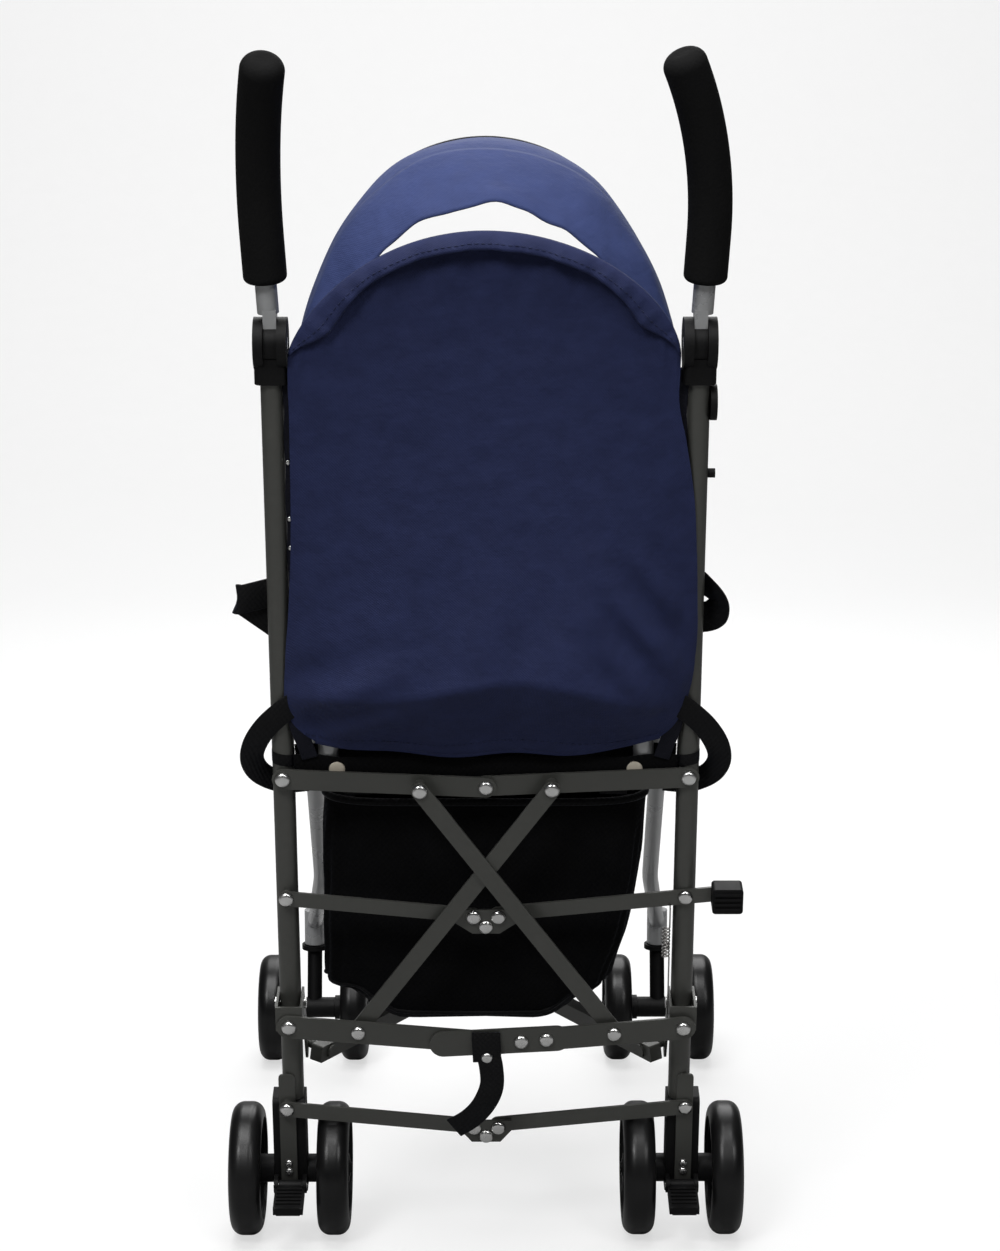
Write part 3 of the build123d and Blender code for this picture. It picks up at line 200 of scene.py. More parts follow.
def makeWearGroup():
    # Rubbed edges, broken up by noise
    group, inside, outside = startGroup("edgeWear", dict(Start=0.53, Amount=0.5), ("Mask",))
    shape = addNode(group, "ShaderNodeNewGeometry")
    span = addNode(group, "ShaderNodeMapRange", {"From Max": 0.62, "To Max": 1.0})
    wire(group, shape, "Pointiness", span, "Value")
    wire(group, inside, "Start", span, "From Min")
    chips = addNode(group, "ShaderNodeTexNoise", {"Scale": 160.0, "Detail": 4.0})
    wire(group, inside, "Vector", chips, "Vector")
    broken = mathNode(group, "MULTIPLY", (span, 0), (chips, 0))
    mask = mathNode(group, "MULTIPLY", (broken, 0), (inside, "Amount"))
    mask.use_clamp = True
    wire(group, mask, 0, outside, "Mask")
    return group


def makeDustGroup():
    # Pale dust on what faces up and in broad patches
    group, inside, outside = startGroup("settledDust", dict(Amount=0.2), ("Mask",))
    shape = addNode(group, "ShaderNodeNewGeometry")
    split = addNode(group, "ShaderNodeSeparateXYZ")
    wire(group, shape, "Normal", split, "Vector")
    facing = {"From Min": -0.4, "From Max": 1.0, "To Min": 0.15, "To Max": 1.0}
    span = addNode(group, "ShaderNodeMapRange", facing)
    wire(group, split, "Z", span, "Value")
    patches = addNode(group, "ShaderNodeTexNoise", {"Scale": 38.0, "Detail": 6.0, "Roughness": 0.7})
    wire(group, inside, "Vector", patches, "Vector")
    spread = mathNode(group, "MULTIPLY", (span, 0), (patches, 0))
    mask = mathNode(group, "MULTIPLY", (spread, 0), (inside, "Amount"))
    wire(group, mask, 0, outside, "Mask")
    return group


weaveGroup = makeWeaveGroup()
grainGroup = makeGrainGroup()
wearGroup = makeWearGroup()
dustGroup = makeDustGroup()


def startMaterial(name):
    material = bpy.data.materials.new(name)
    material.use_nodes = True
    tree = material.node_tree
    shader = tree.nodes["Principled BSDF"]
    place = addNode(tree, "ShaderNodeTexCoord")
    return material, tree, shader, place


def placeGroup(tree, group, place, values):
    node = addNode(tree, "ShaderNodeGroup", values, node_tree=group)
    wire(tree, place, "Object", node, "Vector")
    return node


def mixColour(tree, factor, first, second):
    node = addNode(tree, "ShaderNodeMix", data_type="RGBA")
    tree.links.new(factor[0].outputs[factor[1]], node.inputs[0])
    for index, value in ((6, first), (7, second)):
        if isinstance(value[0], float):
            node.inputs[index].default_value = (*value, 1.0)
        else:
            tree.links.new(value[0].outputs[value[1]], node.inputs[index])
    return node


clothBase = dict(
    threads=900.0, slub=55.0, dust=0.02, dustColour=(0.20, 0.20, 0.23), rough=0.74, roughSpread=0.08,
    sheen=0.06, sheenTint=(0.55, 0.62, 0.9), gloss=0.16, creases=26.0, creaseDepth=0.0035, threadDepth=0.0003,
)


def clothFinish(name, colour, deep, **changes):
    look = {**clothBase, **changes}
    material, tree, shader, place = startMaterial(name)
    weave = placeGroup(tree, weaveGroup, place, {"Threads": look["threads"], "Slub": look["slub"]})
    tone = addNode(tree, "ShaderNodeMapRange", {"From Min": 0.3, "From Max": 0.75})
    wire(tree, weave, "Shade", tone, "Value")
    toned = mixColour(tree, (tone, 0), deep, colour)
    dust = placeGroup(tree, dustGroup, place, {"Amount": look["dust"]})
    dusted = mixColour(tree, (dust, "Mask"), (toned, 2), look["dustColour"])
    tree.links.new(dusted.outputs[2], shader.inputs["Base Color"])
    low, high = look["rough"] - look["roughSpread"], look["rough"] + look["roughSpread"]
    rough = addNode(tree, "ShaderNodeMapRange", {"To Min": low, "To Max": high})
    wire(tree, weave, "Shade", rough, "Value")
    wire(tree, rough, 0, shader, "Roughness")
    shader.inputs["Sheen Weight"].default_value = look["sheen"]
    shader.inputs["Sheen Roughness"].default_value = 0.45
    shader.inputs["Sheen Tint"].default_value = (*look["sheenTint"], 1.0)
    shader.inputs["Specular IOR Level"].default_value = look["gloss"]
    crease = addNode(tree, "ShaderNodeTexNoise", {"Scale": look["creases"], "Detail": 5.0, "Roughness": 0.58})
    wire(tree, place, "Object", crease, "Vector")
    puckers = addNode(tree, "ShaderNodeBump", {"Strength": 1.0, "Distance": look["creaseDepth"]})
    wire(tree, crease, 0, puckers, "Height")
    threads = addNode(tree, "ShaderNodeBump", {"Strength": 0.5, "Distance": look["threadDepth"]})
    wire(tree, weave, "Height", threads, "Height")
    wire(tree, puckers, "Normal", threads, "Normal")
    wire(tree, threads, "Normal", shader, "Normal")
    return material


hardBase = dict(
    fine=900.0, broad=22.0, wear=0.15, dust=0.010, rough=(0.32, 0.46), metal=0.0, coat=0.0, gloss=0.5,
    skin=0.25, skinDepth=0.0002, wornColour=(0.30, 0.30, 0.29),
    dustColour=(0.42, 0.40, 0.37),
)


def hardFinish(name, colour, deep, **changes):
    look = {**hardBase, **changes}
    material, tree, shader, place = startMaterial(name)
    grain = placeGroup(tree, grainGroup, place, {"Fine": look["fine"], "Broad": look["broad"]})
    tone = addNode(tree, "ShaderNodeMapRange", {"From Min": 0.3, "From Max": 0.7})
    wire(tree, grain, "Patches", tone, "Value")
    toned = mixColour(tree, (tone, 0), deep, colour)
    wear = placeGroup(tree, wearGroup, place, {"Start": 0.53, "Amount": look["wear"]})
    worn = mixColour(tree, (wear, "Mask"), (toned, 2), look["wornColour"])
    dust = placeGroup(tree, dustGroup, place, {"Amount": look["dust"]})
    dusted = mixColour(tree, (dust, "Mask"), (worn, 2), look["dustColour"])
    tree.links.new(dusted.outputs[2], shader.inputs["Base Color"])
    low, high = look["rough"]
    spread = {"From Min": 0.3, "From Max": 0.7, "To Min": low, "To Max": high}
    rough = addNode(tree, "ShaderNodeMapRange", spread)
    wire(tree, grain, "Patches", rough, "Value")
    wire(tree, rough, 0, shader, "Roughness")
    shader.inputs["Metallic"].default_value = look["metal"]
    shader.inputs["Coat Weight"].default_value = look["coat"]
    shader.inputs["Coat Roughness"].default_value = 0.18
    shader.inputs["Specular IOR Level"].default_value = look["gloss"]
    skin = addNode(tree, "ShaderNodeBump", {"Strength": look["skin"], "Distance": look["skinDepth"]})
    wire(tree, grain, "Height", skin, "Height")
    wire(tree, skin, "Normal", shader, "Normal")
    return material


navyCloth = clothFinish("navyCloth", (0.0185, 0.0255, 0.080), (0.0120, 0.0165, 0.054))
# The canopy takes a lighter copy of the navy cloth: painted light, for the canopy lit from above and through
# from behind
canopyClothPaintedLight = clothFinish("canopyClothPaintedLight", (0.034, 0.050, 0.146), (0.026, 0.038, 0.112), sheen=0.10)
# Near-black cloth: the real colour of the sling edges and piping, and painted shade on the cover ties
darkClothAndPaintedShade = clothFinish(
    "darkClothAndPaintedShade", (0.006, 0.007, 0.013), (0.003, 0.003, 0.007), sheen=0.03, creases=34.0,
)
seatCloth = clothFinish(
    "seatCloth", (0.016, 0.022, 0.062), (0.010, 0.014, 0.042), threads=480.0, creases=40.0,
    creaseDepth=0.002,
)
basketCloth = clothFinish(
    "basketCloth", (0.0030, 0.0030, 0.0033), (0.0012, 0.0012, 0.0014), threads=360.0, threadDepth=0.0006,
    sheen=0.02, rough=0.85, dust=0.004, gloss=0.08,
)
webbing = clothFinish(
    "webbing", (0.0042, 0.0042, 0.0045), (0.0018, 0.0018, 0.002), threads=420.0, threadDepth=0.0007,
    sheen=0.05, creaseDepth=0.0006, rough=0.66, gloss=0.14, dust=0.006,
)
framePaint = hardFinish(
    "framePaint", (0.062, 0.063, 0.057), (0.055, 0.056, 0.051), wornColour=(0.14, 0.14, 0.13),
    metal=0.35, rough=(0.36, 0.5), coat=0.08,
)
legPaint = hardFinish(
    "legPaint", (0.36, 0.365, 0.37), (0.30, 0.305, 0.31), metal=0.35, rough=(0.24, 0.36), coat=0.2,
    wornColour=(0.45, 0.45, 0.44),
)
blackPlastic = hardFinish(
    "blackPlastic", (0.0042, 0.0042, 0.0045), (0.0026, 0.0026, 0.003), gloss=0.14, dust=0.004,
    rough=(0.45, 0.6), skin=0.5, fine=700.0, wornColour=(0.03, 0.03, 0.03),
)
gripFoam = hardFinish(
    "gripFoam", (0.0050, 0.0050, 0.0052), (0.0030, 0.0030, 0.0032), dust=0.004, rough=(0.78, 0.92),
    skin=0.8, fine=420.0, skinDepth=0.0006, gloss=0.12, wear=0.1, wornColour=(0.05, 0.05, 0.05),
)
tyreRubber = hardFinish(
    "tyreRubber", (0.0050, 0.0050, 0.0053), (0.0030, 0.0030, 0.0033), gloss=0.30, rough=(0.28, 0.40),
    dust=0.004, wear=0.1, wornColour=(0.02, 0.02, 0.02), skin=0.2,
)
rimPlastic = hardFinish(
    "rimPlastic", (0.0065, 0.0065, 0.007), (0.0042, 0.0042, 0.0046), dust=0.004, gloss=0.14,
    rough=(0.42, 0.56), wornColour=(0.03, 0.03, 0.03),
)
brightZinc = hardFinish(
    "brightZinc", (0.74, 0.74, 0.73), (0.62, 0.62, 0.61), metal=1.0, rough=(0.2, 0.34), wear=0.2,
    wornColour=(0.8, 0.79, 0.77), fine=500.0,
)
springSteel = hardFinish(
    "springSteel", (0.34, 0.33, 0.32), (0.24, 0.23, 0.22), metal=1.0, rough=(0.28, 0.42), wear=0.2,
    wornColour=(0.5, 0.5, 0.5),
)
palePlastic = hardFinish(
    "palePlastic", (0.55, 0.50, 0.41), (0.44, 0.40, 0.33), rough=(0.4, 0.55),
    wornColour=(0.6, 0.56, 0.48),
)
stageFinish = hardFinish(
    "stageFinish", (0.31, 0.31, 0.31), (0.30, 0.30, 0.30), rough=(0.6, 0.7), wear=0.0, dust=0.0,
    wornColour=(0.31, 0.31, 0.31), skin=0.02, gloss=0.2,
)
# The floor glows for the camera alone, so that it looks white and yet throws little light back up
stageShader = stageFinish.node_tree.nodes["Principled BSDF"]
stageShader.inputs["Emission Color"].default_value = (studio["floorGlow"],) * 3 + (1.0,)
rays = addNode(stageFinish.node_tree, "ShaderNodeLightPath")
wire(stageFinish.node_tree, rays, "Is Camera Ray", stageShader, "Emission Strength")
print("finishes made:", len(bpy.data.materials))

# Finishes of the nodes that keep their CAD shape, by the first word or words of their names
nodeFinish = dict(
    post=framePaint, handle_hub=blackPlastic, handle_tube=legPaint, handle_grip=gripFoam,
    upper_link=framePaint, cross_bar=framePaint, middle_link=framePaint, lower_link=framePaint,
    bottom_link=framePaint, middle_plate=framePaint, bottom_plate=framePaint, brackets=framePaint,
    floor_arm=framePaint, rear_housing=blackPlastic, brake_pedal=blackPlastic, rivets=brightZinc,
    front_leg=legPaint, caster_fork=blackPlastic, rear_wheels=rimPlastic, rear_tyres=tyreRubber,
    front_wheels=rimPlastic, front_tyres=tyreRubber, back_tube=legPaint, seat_rail=legPaint,
    fold_pedal=blackPlastic, lock_spring=springSteel, accessory_mount=blackPlastic,
)
for nodeName, node in nodes.items():
    for stem, finish in nodeFinish.items():
        if nodeName == stem or nodeName.rsplit("_", 1)[0] == stem:
            node.data.materials.clear()
            node.data.materials.append(finish)
for side in ("left", "right"):
    # The knuckle of the handle tube, inside its hub, is dark plastic
    tube = nodes[f"handle_tube_{side}"]
    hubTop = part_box(f"handle_hub_{side}")[1].z
    tube.data.materials.append(blackPlastic)
    heights = [(tube.matrix_world @ vertex.co).z for vertex in tube.data.vertices]
    for face in tube.data.polygons:
        if max(heights[corner] for corner in face.vertices) < hubTop + 0.002:
            face.material_index = 1
print("frame painted")


def gridFaces(rows, columns, wrap=False):
    faces = []
    for row in range(rows - 1):
        for column in range(columns if wrap else columns - 1):
            right = (column + 1) % columns
            low, high = row * columns, (row + 1) * columns
            faces.append((low + column, low + right, high + right, high + column))
    return faces


def makePiece(name, points, faces, finish, body, closed=False):
    mesh = bpy.data.meshes.new(name)
    mesh.from_pydata([tuple(point) for point in points], [], faces)
    if closed:
        shape = bmesh.new()
        shape.from_mesh(mesh)
        bmesh.ops.recalc_face_normals(shape, faces=shape.faces)
        shape.to_mesh(mesh)
        shape.free()
    mesh.shade_smooth()
    mesh.materials.append(finish)
    piece = bpy.data.objects.new(name, mesh)
    bpy.context.scene.collection.objects.link(piece)
    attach(piece, body)
    return piece


def thicken(piece, thickness, offset=0.0):
    solid = piece.modifiers.new("clothThickness", "SOLIDIFY")
    solid.thickness = thickness
    solid.offset = offset
    return piece


def smoothRun(points, steps):
    # A soft line through every point
    run = []
    last = len(points) - 1
    for index in range(last):
        before = points[max(0, index - 1)]
        first, second = points[index], points[index + 1]
        after = points[min(last, index + 2)]
        for step in range(steps):
            t = step / steps
            straight = 2 * first + (second - before) * t
            bend = (2 * before - 5 * first + 4 * second - after) * t**2
            twist = (3 * first - before - 3 * second + after) * t**3
            run.append(0.5 * (straight + bend + twist))
    run.append(points[last].copy())
    return run


def runWays(run):
    ways = []
    for index in range(len(run)):
        ahead = run[min(len(run) - 1, index + 1)]
        behind = run[max(0, index - 1)]
        ways.append((ahead - behind).normalized())
    return ways


def ringPiece(name, rings, finish, body, loop=False):
    # Closed sections joined one after another, capped at both ends unless they form a loop
    columns = len(rings[0])
    points = [point for ring in rings for point in ring]
    faces = gridFaces(len(rings), columns, wrap=True)
    last = (len(rings) - 1) * columns
    if loop:
        for column in range(columns):
            beside = (column + 1) % columns
            faces.append((last + column, last + beside, beside, column))
    else:
        faces.append(tuple(reversed(range(columns))))
        faces.append(tuple(range(last, last + columns)))
    return makePiece(name, points, faces, finish, body, closed=True)


def ribbonRings(spots, width, thickness, steps=6):
    # Flat webbing along a run, each spot with the direction of its width
    run = smoothRun([spot[0] for spot in spots], steps)
    widthWays = smoothRun([spot[1].normalized() for spot in spots], steps)
    rings = []
    halfWidth, halfThick = width / 2, thickness / 2
    section = (
        (1.0, 0.35), (0.93, 1.0), (0.0, 1.0), (-0.93, 1.0), (-1.0, 0.35),
        (-1.0, -0.35), (-0.93, -1.0), (0.0, -1.0), (0.93, -1.0), (1.0, -0.35),
    )
    for spot, way, wide in zip(run, runWays(run), widthWays):
        wide = (wide - way * wide.dot(way)).normalized()
        face = way.cross(wide)
        rings.append([spot + wide * (halfWidth * a) + face * (halfThick * b) for a, b in section])
    return rings


def strapPiece(name, spots, width, thickness, finish, body, steps=6):
    return ringPiece(name, ribbonRings(spots, width, thickness, steps), finish, body)


def roundRing(middle, first, second, radius, count):
    turns = [2 * math.pi * step / count for step in range(count)]
    return [middle + (first * math.cos(turn) + second * math.sin(turn)) * radius for turn in turns]


def squaredTurn(turn, widePower, deepPower):
    # A place on a rounded rectangle of half size 1: low powers square it off
    wide = math.copysign(abs(math.cos(turn)) ** widePower, math.cos(turn))
    deep = math.copysign(abs(math.sin(turn)) ** deepPower, math.sin(turn))
    return wide, deep


def tubeRings(run, radius, around=12, loop=False):
    ways = runWays(run)
    if loop:
        ways[0] = ways[-1] = (run[1] - run[-1]).normalized()
    side = ways[0].orthogonal().normalized()
    rings = []
    for spot, way in zip(run, ways):
        side = (side - way * side.dot(way)).normalized()
        rings.append(roundRing(spot, side, way.cross(side), radius, around))
    return rings


def stitchPiece(name, run, out, finish, body, pitch=0.0055, length=0.0036, radius=0.00045):
    # A row of raised threads along a seam
    points, faces = [], []
    travelled, due = 0.0, pitch / 2
    for first, second in zip(run, run[1:]):
        gap = (second - first).length
        while due <= travelled + gap and gap > 0:
            middle = first.lerp(second, (due - travelled) / gap)
            way = (second - first).normalized()
            lift = (out - way * out.dot(way)).normalized()
            side = way.cross(lift)
            start = len(points)
            for reach, swell in ((-0.5, 0.35), (-0.25, 1.0), (0.25, 1.0), (0.5, 0.35)):
                for a, b in ((1, 0), (0, 1), (-1, 0), (0, -0.6)):
                    points.append(middle + way * (length * reach) + (side * a + lift * b) * (radius * swell))
            faces += [tuple(start + index for index in face) for face in gridFaces(4, 4, wrap=True)]
            for cap in ((3, 2, 1, 0), (12, 13, 14, 15)):
                faces.append(tuple(start + index for index in cap))
            due += pitch
        travelled += gap
    return makePiece(name, points, faces, finish, body, closed=True)


# Floor and backdrop in one sweep
floorRows = [(studio["floorBack"], 0.0)]
sweep = studio["sweep"]
for step in range(studio["sweepSteps"] + 1):
    turn = math.pi / 2 * step / studio["sweepSteps"]
    floorRows.append((studio["wallStart"] + math.sin(turn) * sweep, sweep - math.cos(turn) * sweep))
floorRows.append((floorRows[-1][0], studio["wallTop"]))
floorPoints = [Vector((sign * studio["floorHalf"], y, z)) for y, z in floorRows for side, sign in sides]
floorMesh = bpy.data.meshes.new("studioFloor")
floorMesh.from_pydata([tuple(point) for point in floorPoints], [], gridFaces(len(floorRows), 2))
floorMesh.shade_smooth()
floorMesh.materials.append(stageFinish)
studioFloor = bpy.data.objects.new("studioFloor", floorMesh)
bpy.context.scene.collection.objects.link(studioFloor)
print("floor laid")


def drawIn(piece):
    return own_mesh(piece)


# Back cover: a slack sack of cloth, taut under its arched hem, full low down and turned under at the bottom
backCover = dict(
    shoulder=0.788, crown=0.104, edge=0.0138, bulge=0.049, full=0.509, bottom=0.431,
    turnShare=0.80, columns=100, rows=110, cloth=0.0013, keep=0.24,
    hemWide=0.0125, hemSide=0.0080, hemProud=0.0120, hemSteps=140, lowHemWide=0.0085, lowHemThick=0.0026,
    seam=0.965,
    leftEdge=(
        (0.1615, 0.900), (0.1615, 0.780), (0.1625, 0.660), (0.1650, 0.590), (0.1700, 0.525), (0.1725, 0.488),
        (0.1690, 0.464), (0.1590, 0.450), (0.1460, 0.440), (0.1330, 0.430),
    ),
    rightEdge=(
        (0.1615, 0.900), (0.1600, 0.790), (0.1595, 0.747), (0.1665, 0.712), (0.1745, 0.660), (0.1780, 0.600),
        (0.1795, 0.554), (0.1785, 0.520), (0.1740, 0.488), (0.1640, 0.460), (0.1480, 0.443), (0.1300, 0.430),
    ),
)
edgeRuns = {
    sign: smoothRun([Vector((x, height, 0)) for x, height in backCover[name]], 8)
    for sign, name in ((-1, "leftEdge"), (1, "rightEdge"))
}


def coverEdge(sign, height):
    run = edgeRuns[sign]
    for first, second in zip(run, run[1:]):
        if second.y <= height <= first.y:
            return lerp(first.x, second.x, (first.y - height) / max(1e-6, first.y - second.y))
    return run[0].x if height > run[0].y else run[-1].x


def coverFolds(x, height, v):
    folds = 0.0024 * noise.noise(Vector((x * 11, height * 4.0, 2.3))) * v
    folds += 0.0010 * noise.noise(Vector((x * 31, height * 12.0, 7.1))) * v
    slant = (x * 0.80 + height * 0.60) / 0.033
    folds += 0.0042 * math.sin(2 * math.pi * slant) * hump(x, 0.138, 0.042) * hump(height, 0.548, 0.060)
    slant = (x * 0.45 - height * 0.89) / 0.046
    folds += 0.0042 * math.sin(2 * math.pi * slant + 0.8) * hump(x, -0.120, 0.05) * hump(height, 0.492, 0.040)
    hang = ease(0.66, 0.52, height) * (1 - abs(x) / 0.2)
    folds += 0.0022 * math.sin(2 * math.pi * (x - 0.25 * height) / 0.083) * hang
    folds -= 0.0042 * hump(x, 0.168, 0.009) * hump(height, 0.556, 0.018)
    folds -= 0.0040 * hump(x, -0.146, 0.010) * hump(height, 0.462, 0.014)
    folds -= 0.0040 * hump(x, 0.148, 0.008) * hump(height, 0.473, 0.010)
    return folds


def coverPoint(across01, down01, lift=0.0):
    cut = backCover
    angle = (across01 * 2 - 1) * math.pi / 2
    s = math.sin(angle)
    top = cut["shoulder"] + cut["crown"] * max(0.0, math.cos(angle)) ** (1.33 - 0.12 * s)
    bottom = cut["bottom"] + 0.012 * abs(s) ** 4 + 0.0022 * math.sin(s * 8.0)
    full = cut["full"] - 0.030 * s * s + 0.006 * math.sin(s * 5.0 + 0.6)
    if down01 < cut["turnShare"]:
        v = down01 / cut["turnShare"]
        height = lerp(top, full, v)
        out = cut["bulge"] * (0.16 * v + 0.84 * v**2.3)
    else:
        v = 1.0
        turn = (down01 - cut["turnShare"]) / (1 - cut["turnShare"])
        height = lerp(full, bottom, turn)
        out = cut["bulge"] * (1 - turn) ** 0.9
    out *= 1 - abs(s) ** 3.4
    x = s * coverEdge(-1 if s < 0 else 1, height)
    hold = ease(0.0, 0.10, down01) * (1 - 0.7 * ease(0.92, 1.0, abs(s))) * (1 - 0.8 * ease(0.93, 1.0, down01))
    out += coverFolds(x, height, v) * hold
    gather = math.sin(angle * 19.0 + 1.3 * math.sin(angle * 5.0))
    out += 0.0022 * gather * hump(down01, 0.065, 0.035) * (1 - s * s) ** 0.3
    out += 0.0035 * ease(0.955, 1.0, down01) * (1 - abs(s) ** 6)
    return rearSpot(x, height, max(cut["edge"], cut["edge"] + out) + lift)


coverRows, coverColumns = backCover["rows"], backCover["columns"]
coverPoints = [
    coverPoint(column / (coverColumns - 1), row / (coverRows - 1))
    for row in range(coverRows) for column in range(coverColumns)
]
coverSheet = makePiece(
    "backCoverCloth", coverPoints, gridFaces(coverRows, coverColumns), navyCloth, "sling"
)
thicken(coverSheet, backCover["cloth"])
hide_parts("back_cover")
# The arched hem is a broad rolled band that stands proud and shades the cloth under it
hemRings = []
hemRun = [coverPoint(step / backCover["hemSteps"], 0.0) for step in range(backCover["hemSteps"] + 1)]
hemProfile = (
    (0.0, 0.0), (0.02, 0.26), (0.25, 0.55), (0.55, 0.80), (0.85, 0.98), (1.0, 1.0),
    (1.07, 0.90), (1.04, 0.74), (0.80, 0.66), (0.50, 0.46), (0.20, 0.16), (0.06, -0.04),
)
for index, (spot, way) in enumerate(zip(hemRun, runWays(hemRun))):
    share = index / backCover["hemSteps"]
    inward = way.cross(backOut)
    if inward.z > 0:
        inward = -inward
    flank = math.sin(math.pi * share)
    puckers = 1 + 0.10 * math.sin(share * 61) + 0.06 * math.sin(share * 143)
    wide = backCover["hemWide"] + backCover["hemSide"] * hump(abs(2 * share - 1), 0.72, 0.2)
    wide *= ease(0.0, 0.17, share) * ease(1.0, 0.83, share) * 0.88 + 0.12
    proud = backCover["hemProud"] * (0.12 + 0.88 * flank**0.8) * puckers
    hemRings.append([spot + inward * (wide * a) + backOut * (proud * b + 0.0004) for a, b in hemProfile])
coverHem = ringPiece("backCoverHem", hemRings, navyCloth, "sling")
lowSpots = []
for step in range(61):
    share = 0.03 + 0.94 * step / 60
    point = coverPoint(share, 1.0, 0.0006)
    lowSpots.append((point + upPost * 0.003, upPost))
coverLowHem = strapPiece(
    "backCoverLowHem", lowSpots, backCover["lowHemWide"], backCover["lowHemThick"], navyCloth, "sling",
    1,
)
seamRun = [coverPoint(step / 160, backCover["seam"]) + backOut * 0.0009 for step in range(6, 155)]
coverStitch = stitchPiece("backCoverStitch", seamRun, backOut, seatCloth, "sling")
hemStitchRun = [ring[3].lerp(ring[4], 0.3) + backOut * 0.0002 for ring in hemRings[6:-6]]
hemStitch = stitchPiece("backCoverHemStitch", hemStitchRun, backOut, seatCloth, "sling")
# The ties take the near-black cloth as painted shade, for the shadow they hang in at the cover's bottom
# corners
coverTie = dict(
    width=0.014, thick=0.0013,
    route=((0.164, 0.466, 0.0138), (0.161, 0.452, 0.0136), (0.156, 0.437, 0.0128), (0.152, 0.424, 0.0120)),
)
coverTies = []
for side, sign in sides:
    run = [(rearSpot(sign * x, height, depth), across) for x, height, depth in coverTie["route"]]
    coverTies.append(strapPiece(
        f"coverTie_{side}", run, coverTie["width"], coverTie["thick"], darkClothAndPaintedShade, "sling"
    ))
for piece in (coverSheet, coverHem, coverLowHem, coverStitch, hemStitch, *coverTies):
    drawIn(piece)
print("back cover sewn")

# Dark edges of the sling cloth beside the cover, each held by three small studs
slingEdge = dict(
    inner=0.1480, outer=0.1668, low=0.448, high=0.775, depth=0.0068, thick=0.0011, keep=0.24,
    studs=(0.693, 0.643, 0.617), studX=0.1640, studRadius=0.0022, studRise=0.0014,
)
slingEdge["width"] = slingEdge["outer"] - slingEdge["inner"]
for side, sign in sides:
    run = []
    for step in range(25):
        height = lerp(slingEdge["low"], slingEdge["high"], step / 24)
        x = (slingEdge["inner"] + slingEdge["outer"]) / 2 + 0.0006 * math.sin(step * 1.7)
        run.append((rearSpot(sign * x, height, slingEdge["depth"] + 0.0006 * math.sin(step * 0.9)), across))
    strip = strapPiece(
        f"slingEdge_{side}", run, slingEdge["width"], slingEdge["thick"], darkClothAndPaintedShade, "sling", steps=3
    )
    drawIn(strip)
print("sling edges laid")

# Canopy: one curved sheet from its slack rear edge up to the bow, in two panels that slide over each other
canopy = dict(
    height=0.745, footX=0.155, turn=55.0, bowAngle=60.0, bowBase=0.127, rearAngle=97.0, rearBase=0.005,
    fullness=0.010, bowRadius=0.004, foot=0.040, bowFoot=0.006, seam=0.5, overlap=0.045, cloth=0.0011,
    columns=97, rearSteps=20, frontSteps=24, hemTurn=235.0, hemSteps=12, keep=0.235,
)
canopyPin = rearSpot(0, canopy["height"])


def archPoint(base, share, foot, grow=0.0):
    # Half of a three centre arch by length: share 0 is its crown, 1 its foot.
    # Returns the sideways place, the rise, and the way out in both.
    turn = math.radians(canopy["turn"])
    crown = canopy["footX"] - base * (1 - math.sin(turn)) / math.cos(turn)
    side = crown + base / math.cos(turn)
    sideX = (side - crown) * math.sin(turn)
    footAngle = math.asin(foot / side)
    crownRun = crown * turn
    total = crownRun + side * (math.pi / 2 - turn - footAngle)
    run = abs(share) * total
    sign = -1 if share < 0 else 1
    if run <= crownRun:
        angle = math.pi / 2 - run / crown
        x, rise = (crown + grow) * math.cos(angle), base + (crown + grow) * math.sin(angle)
    else:
        angle = math.pi / 2 - turn - (run - crownRun) / side
        x, rise = (side + grow) * math.cos(angle) - sideX, (side + grow) * math.sin(angle)
    return sign * x, rise, sign * math.cos(angle), math.sin(angle)


def canopyPoint(share, t, grow=0.0):
    cut = canopy
    tilt = math.radians(lerp(cut["rearAngle"], cut["bowAngle"], t))
    slack = 4 * t * (1 - t)
    base = lerp(cut["rearBase"], cut["bowBase"], t) + cut["fullness"] * slack
    ripple = 0.0022 * noise.noise(Vector((share * 5.0, t * 2.2, 0.7))) * (0.3 + slack)
    ripple += 0.0016 * math.sin(share * 21.0 + t * 3.0) * ease(0.35, 0.95, abs(share)) * (1 - t)
    rearEdge = ease(0.22, 0.0, t)
    ripple += rearEdge * 0.0045 * hump(share, 0.05, 0.07)
    ripple += rearEdge * 0.0028 * noise.noise(Vector((share * 9.0, 0.0, 4.4)))
    ripple -= ease(0.45, 0.0, t) * min(0.026, 0.0060 * (share / 0.36) ** 2)
    ripple -= 0.0048 * hump(share, 0.0, 0.34) * ease(0.05, 0.5, t) - 0.0015 * rearEdge
    x, rise, outX, outUp = archPoint(base, share, cut["foot"], grow + ripple)
    x += 0.0055 * ease(0.25, 0.75, share) * (1 - 0.8 * ease(0.9, 1.0, share)) * (1 - 0.7 * t)
    return canopyPin + across * x + Vector((0, math.cos(tilt), math.sin(tilt))) * rise


